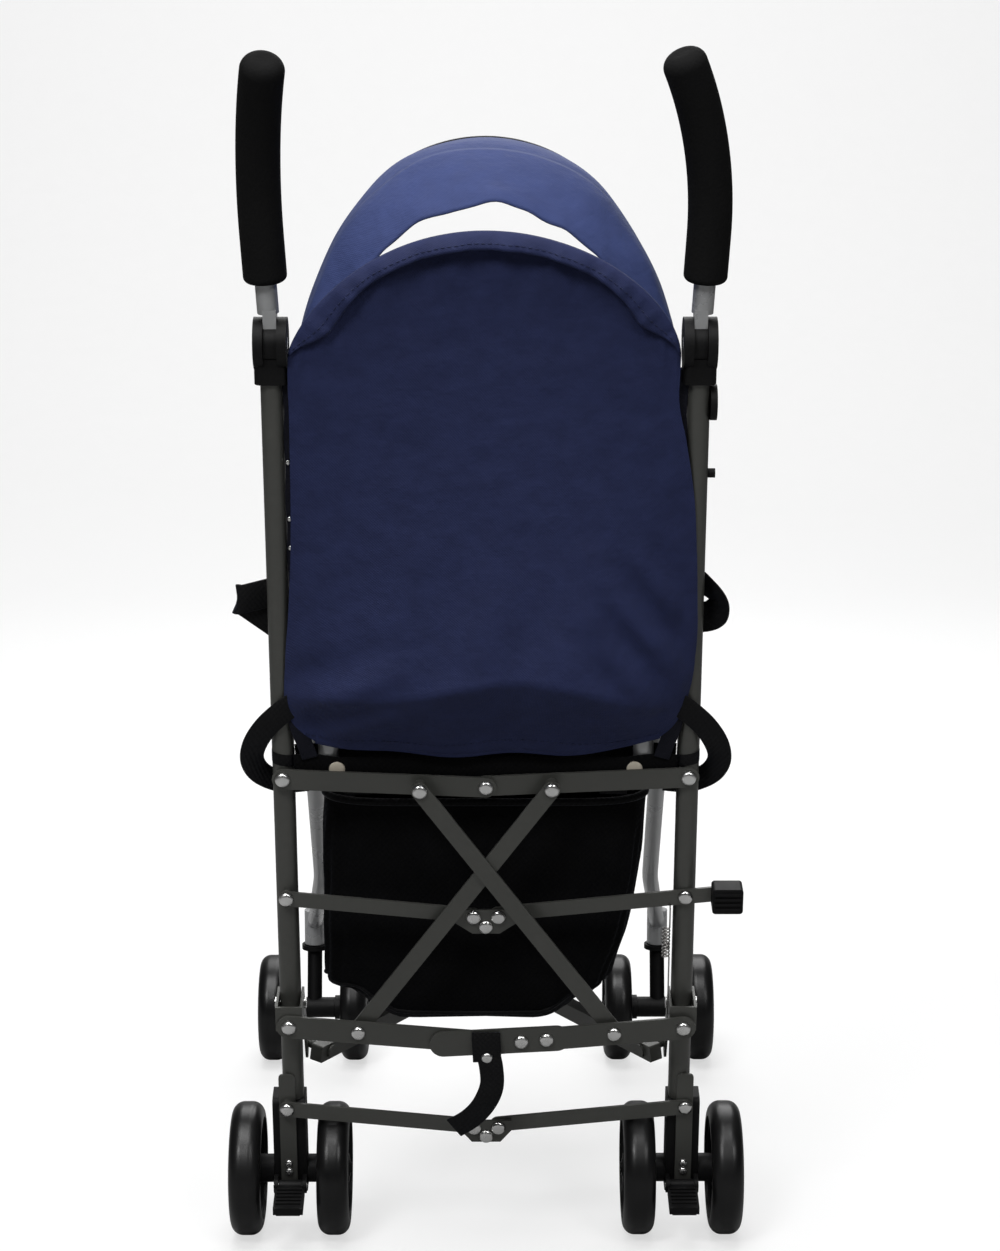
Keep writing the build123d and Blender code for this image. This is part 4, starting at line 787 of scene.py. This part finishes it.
bowTilt = math.radians(canopy["bowAngle"])
bowUp = Vector((0, math.cos(bowTilt), math.sin(bowTilt)))
bowBack = Vector((0, -math.sin(bowTilt), math.cos(bowTilt)))
canopyShares = [2 * column / (canopy["columns"] - 1) - 1 for column in range(canopy["columns"])]
wrapRadius = canopy["bowRadius"] + 0.0012
rearReach = canopy["seam"] + canopy["overlap"]
rearRows = [rearReach * row / canopy["rearSteps"] for row in range(canopy["rearSteps"] + 1)]
frontRows = [lerp(canopy["seam"], 1.0, row / canopy["frontSteps"]) for row in range(canopy["frontSteps"] + 1)]
rearPoints = [
    canopyPoint(share, t, wrapRadius * ease(0.3, 1.0, t) + 0.0016 * ease(0.20, canopy["seam"], t))
    for t in rearRows for share in canopyShares
]
frontPoints = [
    canopyPoint(share, t, wrapRadius * ease(0.3, 1.0, t) - 0.0006 * ease(0.7, 0.5, t))
    for t in frontRows for share in canopyShares
]
for step in range(1, canopy["hemSteps"] + 1):
    # The front hem rolls round the bow
    turn = math.radians(canopy["hemTurn"] * step / canopy["hemSteps"])
    for share in canopyShares:
        x, rise, outX, outUp = archPoint(canopy["bowBase"], share, canopy["foot"])
        out = across * outX + bowUp * outUp
        roll = (out * math.cos(turn) - bowBack * math.sin(turn)) * wrapRadius
        frontPoints.append(canopyPin + across * x + bowUp * rise + roll)
rearFaces = gridFaces(len(rearRows), canopy["columns"])
frontFaces = gridFaces(len(frontRows) + canopy["hemSteps"], canopy["columns"])
canopyRear = makePiece("canopyRearPanel", rearPoints, rearFaces, canopyClothPaintedLight, "sling")
canopyFront = makePiece("canopyFrontPanel", frontPoints, frontFaces, canopyClothPaintedLight, "canopy")
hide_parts("canopy_cloth")
bowRun = []
for step in range(81):
    x, rise, outX, outUp = archPoint(canopy["bowBase"], step / 40 - 1, canopy["bowFoot"])
    bowRun.append(canopyPin + across * x + bowUp * rise)
bowRings = tubeRings(bowRun, canopy["bowRadius"], 14)
canopyBow = ringPiece("canopyBowRod", bowRings, blackPlastic, "canopy")
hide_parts("canopy_bow")
bowEyes = []
for side, sign in sides:
    rings = []
    for reach, size in ((-0.003, 0.0072), (-0.0024, 0.0086), (0.0024, 0.0086), (0.003, 0.0072)):
        middle = canopyPin + across * (sign * canopy["footX"] + reach)
        rings.append(roundRing(middle, upPost, backOut, size, 24))
    bowEyes.append(ringPiece(f"canopyEye_{side}", rings, blackPlastic, "canopy"))
for piece in (canopyRear, canopyFront):
    thicken(piece, canopy["cloth"])
for piece in (canopyRear, canopyFront, canopyBow, *bowEyes):
    drawIn(piece)
print("canopy stretched over its bow")


# Pads: crowned cushions whose sides pull in between their corners, puffed by a cloth run
padMesh = dict(
    count=44, pipingShare=0.42, pipingRadius=0.0022, pipingGrow=0.0035, voxel=0.005, pressure=4.0,
    clothFrames=20,
)


def padShape(cut, origin, wide, deep, outward):
    points = []
    count = padMesh["count"]
    piping = padMesh["pipingShare"]
    for layer in (1, 0):
        for row in range(count):
            b = 2 * row / (count - 1) - 1
            for column in range(count):
                a = 2 * column / (count - 1) - 1
                x = a * (cut["width"] / 2 - cut["pull"] * (1 - b * b))
                y = b * (cut["depth"] / 2 - cut["pull"] * (1 - a * a))
                rim = math.sqrt(max(0.0, (1 - abs(a) ** 9) * (1 - abs(b) ** 9)))
                crown = 0.86 + 0.14 * (1 - a * a) * (1 - b * b)
                z = piping + (1 - piping) * rim * crown if layer else piping * (1 - rim)
                points.append(origin + wide * x + deep * y + outward * (cut["thick"] * z))
    half = count * count
    faces = gridFaces(count, count)
    faces += [tuple(half + index for index in reversed(face)) for face in gridFaces(count, count)]
    rim = list(range(count))
    rim += [row * count + count - 1 for row in range(1, count)]
    rim += [(count - 1) * count + column for column in reversed(range(count - 1))]
    rim += [row * count for row in reversed(range(1, count - 1))]
    for first, second in zip(rim, rim[1:] + rim[:1]):
        faces.append((second, first, half + first, half + second))
    return points, faces


def puffPad(piece, cap):
    remesh = piece.modifiers.new("padRemesh", "REMESH")
    remesh.mode = "VOXEL"
    remesh.voxel_size = padMesh["voxel"]
    graph = bpy.context.evaluated_depsgraph_get()
    smooth = bpy.data.meshes.new_from_object(piece.evaluated_get(graph))
    piece.modifiers.clear()
    smooth.materials.clear()
    smooth.materials.append(piece.data.materials[0])
    piece.data = smooth
    rest = [vertex.co.copy() for vertex in smooth.vertices]
    cloth = piece.modifiers.new("padCloth", "CLOTH")
    cloth.settings.quality = 5
    cloth.settings.use_pressure = True
    cloth.settings.uniform_pressure_force = padMesh["pressure"]
    cloth.settings.effector_weights.gravity = 0.0
    for frameNumber in range(1, padMesh["clothFrames"] + 1):
        bpy.context.scene.frame_set(frameNumber)
    graph = bpy.context.evaluated_depsgraph_get()
    puffed = bpy.data.meshes.new_from_object(piece.evaluated_get(graph))
    moved = [vertex.co.copy() for vertex in puffed.vertices]
    piece.modifiers.clear()
    for vertex, first, second in zip(smooth.vertices, rest, moved):
        step = second - first
        if step.length > cap:
            step = step.normalized() * cap
        vertex.co = first + step
    bpy.context.scene.frame_set(1)
    smooth.shade_smooth()


def pressChannels(piece, origin, way, outward, lines, depth):
    # Sewn channels: the cloth is drawn in along straight lines on the face
    for vertex in piece.data.vertices:
        if vertex.normal.dot(outward) > 0.35:
            place = (vertex.co - origin).dot(way)
            pull = sum(hump(place, line, 0.006) for line in lines)
            vertex.co = vertex.co - outward * (depth * min(1.0, pull))


def rimRun(cut, origin, wide, deep, outward, lift, grow):
    run = []
    count = 36
    edges = ((1, 0, -1, -1), (0, 1, 1, -1), (-1, 0, 1, 1), (0, -1, -1, 1))
    for alongX, alongY, startX, startY in edges:
        for step in range(count):
            a = startX + 2 * alongX * step / count
            b = startY + 2 * alongY * step / count
            x = a * (cut["width"] / 2 + grow - cut["pull"] * (1 - b * b))
            y = b * (cut["depth"] / 2 + grow - cut["pull"] * (1 - a * a))
            cornerCut = 1 - 0.022 * abs(a * b) ** 14
            run.append(origin + wide * (x * cornerCut) + deep * (y * cornerCut) + outward * lift)
    return run


seatPad = dict(
    width=0.272, depth=0.250, thick=0.030, pull=0.006, start=0.018, reach=0.262, rise=6.0, railHeight=0.440,
    railDepth=-0.022, railRadius=0.0085, channels=(-0.045, 0.045), channelDepth=0.0035, cap=0.006, keep=0.04,
)
seatRise = math.radians(seatPad["rise"])
seatForward = Vector((0, math.cos(seatRise), math.sin(seatRise)))
seatUp = Vector((0, -math.sin(seatRise), math.cos(seatRise)))
seatMiddle = rearSpot(0, seatPad["railHeight"], seatPad["railDepth"])
seatAhead, seatLift = seatPad["start"] + seatPad["reach"] / 2, seatPad["railRadius"] + 0.001
seatMiddle += seatForward * seatAhead + seatUp * seatLift
padPoints, padFaces = padShape(seatPad, seatMiddle, across, seatForward, seatUp)
seatCushion = makePiece("seatCushion", padPoints, padFaces, seatCloth, "seat", closed=True)
backPad = dict(
    width=0.272, depth=0.334, thick=0.022, pull=0.006, low=0.452, high=0.800, face=-0.0105,
    channels=(-0.048, 0.048), channelDepth=0.0032, cap=0.005, keep=0.04,
)
backMiddle = rearSpot(0, (backPad["low"] + backPad["high"]) / 2, backPad["face"])
backFront = -backOut
padPoints, padFaces = padShape(backPad, backMiddle, across, upPost, backFront)
backCushion = makePiece("backCushion", padPoints, padFaces, seatCloth, "sling", closed=True)
padJobs = (
    (seatCushion, seatPad, seatMiddle, seatForward, seatUp, "seat", "seat_pad"),
    (backCushion, backPad, backMiddle, upPost, backFront, "sling", "back_pad"),
)
for cushion, cut, middle, deep, outward, body, node in padJobs:
    puffPad(cushion, cut["cap"])
    pressChannels(cushion, middle, across, outward, cut["channels"], cut["channelDepth"])
    cushion.modifiers.new("padSmooth", "SUBSURF").levels = 1
    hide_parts(node)
    lift = cut["thick"] * padMesh["pipingShare"]
    piping = rimRun(cut, middle, across, deep, outward, lift, padMesh["pipingGrow"])
    pipingRings = tubeRings(piping, padMesh["pipingRadius"], 10, loop=True)
    pipe = ringPiece(f"{cushion.name}Piping", pipingRings, darkClothAndPaintedShade, body, loop=True)
    drawIn(cushion)
    drawIn(pipe)
    print(cushion.name, "filled,", len(cushion.data.vertices), "points")

# Cloth sleeves hold the seat on its rails. Their upper edge laps onto the cushion.
railSleeve = dict(
    spread=0.137, radius=0.0100, length=0.246, middle=0.150, thick=0.0012, tuck=(-0.0075, 0.0076),
    lap=((0.0015, 0.0168), (-0.0080, 0.02205)),
)
for side, sign in sides:
    railSpot = rearSpot(sign * railSleeve["spread"], seatPad["railHeight"], seatPad["railDepth"])
    railSpot += seatForward * railSleeve["middle"]
    section = [railSleeve["tuck"]]
    for turn in range(160, 390, 23):
        angle = math.radians(turn)
        section.append((railSleeve["radius"] * math.cos(angle), railSleeve["radius"] * math.sin(angle)))
    section += railSleeve["lap"]
    run = [(railSpot + across * (sign * out) + seatUp * up, seatForward) for out, up in section]
    strapPiece(
        f"seatSleeve_{side}", run, railSleeve["length"], railSleeve["thick"], seatCloth, f"{side}_rail",
        3,
    )

# Harness: shoulder straps with pads down the back, a buckle with its crotch strap on the seat
harness = dict(
    shoulderX=0.052, width=0.026, thick=0.002, padWidth=0.040, padThick=0.009, padHigh=0.722, padLow=0.612,
    buckle=0.044, buckleDeep=0.034, button=0.0085, keep=0.16,
    strapRoute=(
        (0.86, 0.752, 0.016), (0.88, 0.744, -0.001), (0.92, 0.70, -0.003), (1.0, 0.62, -0.004),
        (0.9, 0.535, -0.005), (0.5, 0.492, -0.022),
    ),
    crotchRoute=((0.112, -0.008), (0.07, -0.004), (0.03, -0.001), (0.01, 0.0)),
)
padTop = backPad["face"] - backPad["thick"] - 0.0065
shoulderStraps = []
for side, sign in sides:
    x = sign * harness["shoulderX"]
    run = [
        (rearSpot(x * share, height, padTop + depth), across)
        for share, height, depth in harness["strapRoute"]
    ]
    strap = strapPiece(f"shoulderStrap_{side}", run, harness["width"], harness["thick"], webbing, "sling")
    padRings = []
    padCount = 22
    for step in range(padCount):
        share = step / (padCount - 1)
        swell = math.sqrt(max(0.0, 1 - (2 * share - 1) ** 8))
        height = lerp(harness["padHigh"], harness["padLow"], share)
        middle = rearSpot(x * lerp(0.9, 1.0, share), height, padTop - 0.0055)
        halfWide = harness["padWidth"] / 2 * (0.9 + 0.1 * swell)
        halfThick = harness["padThick"] / 2 * (0.2 + 0.8 * swell)
        ring = []
        for corner in range(24):
            wide, thick = squaredTurn(2 * math.pi * corner / 24, 0.45, 0.7)
            ring.append(middle + across * (wide * halfWide) - backOut * (thick * halfThick))
        padRings.append(ring)
    strapPad = ringPiece(f"shoulderPad_{side}", padRings, seatCloth, "sling")
    shoulderStraps += [strap, strapPad]
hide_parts("harness")
buckleMiddle = seatMiddle + seatUp * (seatPad["thick"] + 0.011)
buckleRings = []
buckleLayers = ((-0.005, 0.86), (-0.0035, 0.97), (0.0, 1.0), (0.0035, 0.96), (0.0055, 0.84), (0.0062, 0.6))
for lift, size in buckleLayers:
    ring = []
    for corner in range(40):
        wide, deep = squaredTurn(2 * math.pi * corner / 40, 0.4, 0.4)
        wide *= harness["buckle"] / 2 * size
        deep *= harness["buckleDeep"] / 2 * size
        ring.append(buckleMiddle + across * wide + seatForward * deep + seatUp * lift)
    buckleRings.append(ring)
buckle = ringPiece("harnessBuckle", buckleRings, blackPlastic, "seat")
buttonRings = []
for lift, size in ((0.0055, 1.0), (0.0075, 0.97), (0.0084, 0.82)):
    middle = buckleMiddle + seatUp * lift
    buttonRings.append(roundRing(middle, across, seatForward, harness["button"] * size, 28))
buckleButton = ringPiece("harnessButton", buttonRings, rimPlastic, "seat")
run = [(buckleMiddle + seatUp * up + seatForward * ahead, across) for ahead, up in harness["crotchRoute"]]
crotchStrap = strapPiece("crotchStrap", run, harness["width"], harness["thick"], webbing, "seat")
for piece in (*shoulderStraps, buckle, buckleButton, crotchStrap):
    drawIn(piece)
print("harness laid")

# Basket: a lofted sack that sags between its hangers, open at the top
basketBag = dict(
    top=0.436, floor=0.206, left=(0.152, 0.156), right=(0.151, 0.112), front=(0.129, 0.116),
    frontTop=0.128, frontFloor=0.210, back=0.0100, square=0.28, bow=0.006, rimRadius=0.0034, hemRadius=0.0024,
    columns=120, wallRows=40, floorRows=16, cloth=0.0012, keep=0.06,
)


def basketPoint(turn, drop, inward=0.0):
    cut = basketBag
    sag = 0.006 * (math.sin(turn) ** 2 + 0.4) * (1 - drop)
    z = lerp(cut["top"] - sag, cut["floor"], drop)
    uneven = noise.noise(Vector((math.cos(turn) * 2, math.sin(turn) * 2, drop * 2)))
    swell = math.sin(math.pi * drop) * cut["bow"] * (0.5 + 0.5 * uneven)
    back = axle.y - math.tan(leanTurn) * (z - axle.z) + cut["back"]
    front = axle.y + lerp(cut["frontTop"], cut["frontFloor"], drop)
    wide, deep = squaredTurn(turn, cut["square"], cut["square"])
    rear = cut["left"] if wide < 0 else cut["right"]
    half = lerp(lerp(*rear, drop**1.4), lerp(*cut["front"], drop), ease(-1.0, 0.2, deep))
    ripple = 0.0020 * noise.noise(Vector((wide * 7, deep * 7, drop * 5.0)))
    ripple += 0.0012 * math.sin(turn * 22 + drop * 4)
    ripple *= ease(0.02, 0.25, drop)
    x = wide * (half - 0.004 + swell + ripple) * (1 - inward)
    halfDeep = (front - back) / 2 - 0.002 + min(0.0, swell) + ripple * 0.6
    y = lerp(back, front, 0.5) + deep * halfDeep * (1 - inward)
    if drop >= 1.0:
        z += 0.004 * noise.noise(Vector((x * 16, y * 16, 1.1)))
        z += 0.012 * ease(0.25, 0.0, inward) - 0.010 * ease(0.0, 0.9, inward)
    else:
        z += 0.012 * ease(0.9, 1.0, drop) + 0.0035 * math.sin(turn * 9.0) * ease(0.8, 1.0, drop)
    corner = ease(0.075, 0.140, -x) if x < 0 else 0.8 * ease(0.045, 0.105, x)
    z += 0.026 * corner * ease(0.55, 1.0, drop) * ease(0.3, -0.8, deep)
    return Vector((x, y, z))


bagColumns = basketBag["columns"]
bagWallRows, bagFloorRows = basketBag["wallRows"], basketBag["floorRows"]
bagTurns = [2 * math.pi * column / bagColumns for column in range(bagColumns)]
bagDrops = [(row / bagWallRows * 0.999, 0.0) for row in range(bagWallRows + 1)]
bagDrops += [(1.0, row / bagFloorRows * 0.985) for row in range(1, bagFloorRows + 1)]
bagPoints = [basketPoint(turn, drop, inward) for drop, inward in bagDrops for turn in bagTurns]
bagRows = len(bagDrops)
bagFaces = gridFaces(bagRows, bagColumns, wrap=True)
bagFaces.append(tuple((bagRows - 1) * bagColumns + column for column in range(bagColumns)))
basketSack = makePiece("basketSack", bagPoints, bagFaces, basketCloth, "sling")
thicken(basketSack, basketBag["cloth"])
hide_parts("basket")
bagRimRun = [basketPoint(turn, 0.012) for turn in bagTurns]
bagRimRings = tubeRings(bagRimRun, basketBag["rimRadius"], 10, loop=True)
basketRim = ringPiece("basketRim", bagRimRings, webbing, "sling", loop=True)
bagHemRun = [basketPoint(turn, 0.985) for turn in bagTurns]
bagHemRings = tubeRings(bagHemRun, basketBag["hemRadius"], 8, loop=True)
basketHem = ringPiece("basketHem", bagHemRings, webbing, "sling", loop=True)
backHanger = dict(
    x=0.112, width=0.024, thick=0.0018, route=((0.412, -0.0125), (0.398, -0.0125), (0.378, -0.0118)),
)
# A loop of webbing round each front leg holds up the side of the rim
legLoop = dict(
    top=(0.155, 0.5225), knee=(0.168, 0.325, 0.250), below=0.012, radius=0.0092, reach=0.0215, gap=0.001,
    width=0.020, thick=0.0014,
)
hangers = []
for side, sign in sides:
    run = [(rearSpot(sign * backHanger["x"], height, depth), across) for height, depth in backHanger["route"]]
    hangers.append(strapPiece(
        f"basketBackHanger_{side}", run, backHanger["width"], backHanger["thick"], webbing, "sling"
    ))
    topX, topHeight = legLoop["top"]
    kneeX, kneeAhead, kneeHeight = legLoop["knee"]
    legTop = rearSpot(sign * topX, topHeight)
    legKnee = Vector((sign * kneeX, axle.y + kneeAhead, kneeHeight))
    legWay = (legKnee - legTop).normalized()
    legSpot = legTop + legWay * ((legTop.z - basketBag["top"] + legLoop["below"]) / -legWay.z)
    legSide = (across - legWay * across.dot(legWay)).normalized() * sign
    legUp = legSide.cross(legWay).normalized()
    if legUp.z < 0:
        legUp = -legUp
    inner = legSpot - legSide * legLoop["reach"]
    run = [(inner - legUp * legLoop["gap"], legWay)]
    for turn in range(-150, 151, 25):
        angle = math.radians(turn)
        outFromLeg = legSide * math.cos(angle) + legUp * math.sin(angle)
        run.append((legSpot + outFromLeg * legLoop["radius"], legWay))
    run.append((inner + legUp * legLoop["gap"], legWay))
    strapPiece(
        f"basketLegLoop_{side}", run, legLoop["width"], legLoop["thick"], webbing, f"{side}_leg", steps=3
    )
for piece in (basketSack, basketRim, basketHem, *hangers):
    drawIn(piece)
print("basket hung")

# Seat band behind the seat, with a sleeve of the same webbing round each post
seatBand = dict(
    low=0.399, high=0.427, depth=-0.0102, inner=0.1660, thick=0.0016, keep=0.14,
    lap=0.0105, lapHeight=0.4085, lapWide=0.0300, lapThick=0.0010,
)
run = []
for step in range(25):
    x = lerp(-seatBand["inner"], seatBand["inner"], step / 24)
    drop = 0.0016 * math.sin(step * 0.9) - 0.003 * (1 - (x / seatBand["inner"]) ** 2)
    run.append((rearSpot(x, (seatBand["low"] + seatBand["high"]) / 2 + drop, seatBand["depth"]), upPost))
bandWide = seatBand["high"] - seatBand["low"]
bandStrip = strapPiece("seatBandStrip", run, bandWide, seatBand["thick"], webbing, "sling", steps=3)
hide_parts("seat_band")
run = []
for step in range(33):
    x = lerp(-seatBand["inner"], seatBand["inner"], step / 32)
    rise = 0.0012 * math.sin(step * 1.1) + 0.0035 * abs(x / seatBand["inner"]) ** 3
    run.append((rearSpot(x, seatBand["lapHeight"] + rise, seatBand["lap"]), upPost))
bandLap = strapPiece(
    "seatBandLap", run, seatBand["lapWide"], seatBand["lapThick"], basketCloth, "sling", steps=2
)
for piece in (bandStrip, bandLap):
    drawIn(piece)
for side, sign in sides:
    halfX, halfDepth = rearFrame["postHalf"] + 0.0003, rearFrame["postFace"] + 0.00025
    points = []
    for height, grow in ((0.4165, -0.0001), (0.4175, 0.0), (0.4265, 0.0), (0.4275, -0.0001)):
        for corner in range(36):
            wide, deep = squaredTurn(2 * math.pi * corner / 36, 0.75, 0.55)
            wide *= halfX + grow
            deep *= halfDepth + grow
            lift = 0.002 * sign * wide / halfX
            points.append(rearSpot(sign * rearFrame["postX"] + wide, height + lift, deep))
    sleeveFaces = gridFaces(4, 36, wrap=True)
    makePiece(f"bandSleeve_{side}", points, sleeveFaces, webbing, f"{side}_frame")
print("seat band strung")

# Webbing loops on the outer side of each post: a folded loop above, a slack sling loop below
strapLoops = dict(
    thick=0.0016, upperWide=0.026, lowerWide=0.021,
    upperLeft=(
        (0.164, 0.5700, -0.0140), (0.180, 0.5690, -0.0138), (0.197, 0.5655, -0.0118),
        (0.2070, 0.5635, -0.0106), (0.2115, 0.5625, -0.0120), (0.2110, 0.5615, -0.0140),
        (0.2060, 0.5585, -0.0158), (0.194, 0.5490, -0.0170), (0.180, 0.5380, -0.0175),
        (0.164, 0.5260, -0.0176),
    ),
    upperRight=(
        (0.164, 0.5800, -0.0150), (0.180, 0.5785, -0.0140), (0.1905, 0.5735, -0.0095),
        (0.1975, 0.5670, -0.0055), (0.1995, 0.5600, -0.0045), (0.1965, 0.5520, -0.0070),
        (0.188, 0.5460, -0.0120), (0.164, 0.5420, -0.0170),
    ),
    lower=(
        (0.1600, 0.4800, 0.0165), (0.1740, 0.4700, 0.0160), (0.1890, 0.4550, 0.0145),
        (0.1995, 0.4370, 0.0100), (0.2030, 0.4200, 0.0040), (0.1990, 0.4050, -0.0040),
        (0.1890, 0.3940, -0.0110), (0.1750, 0.3880, -0.0160), (0.1560, 0.3880, -0.0190),
    ),
)
for side, sign in sides:
    outward = across * sign
    if sign < 0:
        spots = strapLoops["upperLeft"]
        wides = [upPost] * 3 + [upPost + across * 0.2] * 3 + [upPost * 0.85 + across * 0.52] * 4
    else:
        spots = strapLoops["upperRight"]
        wides = [
            upPost, upPost + backOut * 0.2, upPost * 0.75 + outward * 0.25 + backOut * 0.6,
            upPost * 0.38 + outward * 0.48 + backOut * 0.79, outward * 0.55 + backOut * 0.75,
            outward * 0.5 - upPost * 0.7 + backOut * 0.5, outward * 0.15 - upPost + backOut * 0.3, -upPost,
        ]
    run = [(rearSpot(sign * x, height, depth), wide) for (x, height, depth), wide in zip(spots, wides)]
    upperLoop = strapPiece(
        f"upperLoop_{side}", run, strapLoops["upperWide"], strapLoops["thick"], webbing, f"{side}_frame"
    )
    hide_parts(f"strap_loops_{side}")
    spots = strapLoops["lower"]
    wides = [
        upPost * 0.88 + outward * 0.45, upPost * 0.8 + outward * 0.6, upPost * 0.6 + outward * 0.8,
        upPost * 0.25 + outward, outward + backOut * 0.3, outward - upPost * 0.45 + backOut * 0.3,
        outward * 0.45 - upPost, -upPost, -upPost,
    ]
    run = [(rearSpot(sign * x, height, depth), wide) for (x, height, depth), wide in zip(spots, wides)]
    strapPiece(
        f"slingLoop_{side}", run, strapLoops["lowerWide"], strapLoops["thick"], webbing, f"{side}_frame"
    )
print("strap loops sewn")

# Domed rivet heads over the flat heads of the linkage, by the body that carries them: across, height, depth
rivetDomes = dict(
    radius=0.0067, rise=0.0036,
    places=(
        ("left_frame", -0.1760, 0.4060, 0.0182), ("left_frame", -0.1760, 0.2895, 0.0182),
        ("left_frame", -0.1760, 0.1685, 0.0337), ("left_frame", -0.1810, 0.0750, 0.0206),
        ("right_frame", 0.1760, 0.4060, 0.0153), ("right_frame", 0.1760, 0.2895, 0.0153),
        ("right_frame", 0.1760, 0.1685, 0.0366), ("right_frame", 0.1810, 0.0750, 0.0177),
        ("left_upper_link", -0.0571, 0.4006, 0.0308), ("left_upper_link", 0.0, 0.3980, 0.0178),
        ("right_upper_link", 0.0571, 0.4006, 0.0279), ("left_lower_link", -0.1143, 0.1629, 0.0333),
        ("right_lower_link", 0.1143, 0.1629, 0.0362), ("right_lower_link", 0.0540, 0.1574, 0.0362),
        ("right_lower_link", 0.0314, 0.1554, 0.0362), ("middle_plate", 0.0, 0.2629, 0.0200),
        ("middle_plate", 0.0110, 0.2725, 0.0200), ("middle_plate", -0.0110, 0.2725, 0.0200),
        ("bottom_plate", 0.0, 0.0483, 0.0224), ("bottom_plate", 0.0110, 0.0570, 0.0224),
        ("bottom_plate", -0.0110, 0.0570, 0.0224),
    ),
)


def domePiece(name, middle, out, radius, rise, finish, body):
    first = out.orthogonal().normalized()
    second = out.cross(first)
    rings = []
    for share in (1.0, 0.97, 0.92, 0.83, 0.7, 0.52, 0.3, 0.08):
        lift = rise * math.sqrt(max(0.0, 1 - share**4))
        rings.append(roundRing(middle + out * lift, first, second, radius * share, 28))
    return ringPiece(name, rings, finish, body)


footRivet = dict(x=0.1810, heights=(0.0140, 0.0055), depth=0.0138, radius=0.0040, rise=0.0030)
tubePlug = dict(x=0.1290, height=0.4130, depth=0.0111, radius=0.0070, rise=0.0013)
for index, (body, x, height, depth) in enumerate(rivetDomes["places"]):
    domePiece(
        f"rivetDome_{index + 1:02d}", rearSpot(x, height, depth), backOut,
        rivetDomes["radius"], rivetDomes["rise"], brightZinc, body,
    )
for side, sign in sides:
    for index, height in enumerate(slingEdge["studs"]):
        stud = domePiece(
            f"edgeStud_{side}_{index + 1}",
            rearSpot(sign * slingEdge["studX"], height, slingEdge["depth"] + 0.0008), backOut,
            slingEdge["studRadius"], slingEdge["studRise"], brightZinc, "sling",
        )
        drawIn(stud)
    # Two rivets hold each foot strap
    for index, height in enumerate(footRivet["heights"]):
        spot = rearSpot(sign * footRivet["x"], height, footRivet["depth"])
        domePiece(
            f"footRivet_{side}_{index + 1}", spot, backOut, footRivet["radius"], footRivet["rise"],
            brightZinc, f"{side}_frame",
        )
    # A pale washer between the end of each back tube and the upper link
    domePiece(
        f"tubePlug_{side}", rearSpot(sign * tubePlug["x"], tubePlug["height"], tubePlug["depth"]), backOut,
        tubePlug["radius"], tubePlug["rise"], palePlastic, f"{side}_frame",
    )
print("rivets set:", len(rivetDomes["places"]))

# Closure strap: limp webbing that hangs from the overlap plate and curls to one side
closure = dict(
    width=0.0215, thick=0.0017, tabWide=0.0255, tabThick=0.0016, rivet=(0.0008, 0.1425, 0.0424),
    rivetRadius=0.0052, rivetRise=0.0026,
    route=(
        (0.0, 0.163, 0.0385), (0.001, 0.150, 0.0400), (0.0045, 0.134, 0.0440), (0.005, 0.116, 0.0470),
        (-0.002, 0.098, 0.0480), (-0.014, 0.082, 0.0460), (-0.029, 0.070, 0.0430),
    ),
    tabRoute=((0.0, 0.166, 0.0378), (0.0, 0.160, 0.0396), (0.0005, 0.150, 0.0414), (0.001, 0.1385, 0.0420)),
)
wides = (
    across, across, across + upPost * 0.1, across + backOut * 0.15, across - upPost * 0.25,
    across * 0.8 - upPost * 0.5, across * 0.6 - upPost * 0.8,
)
run = [(rearSpot(*spot), wide) for spot, wide in zip(closure["route"], wides)]
closureStrap = strapPiece(
    "closureWebbing", run, closure["width"], closure["thick"], webbing, "right_lower_link"
)
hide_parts("closure_strap")
run = [(rearSpot(*spot), across) for spot in closure["tabRoute"]]
strapPiece("closureTab", run, closure["tabWide"], closure["tabThick"], webbing, "right_lower_link")
domePiece(
    "closureRivet", rearSpot(*closure["rivet"]), backOut, closure["rivetRadius"], closure["rivetRise"],
    brightZinc, "right_lower_link",
)
print("closure strap hung")
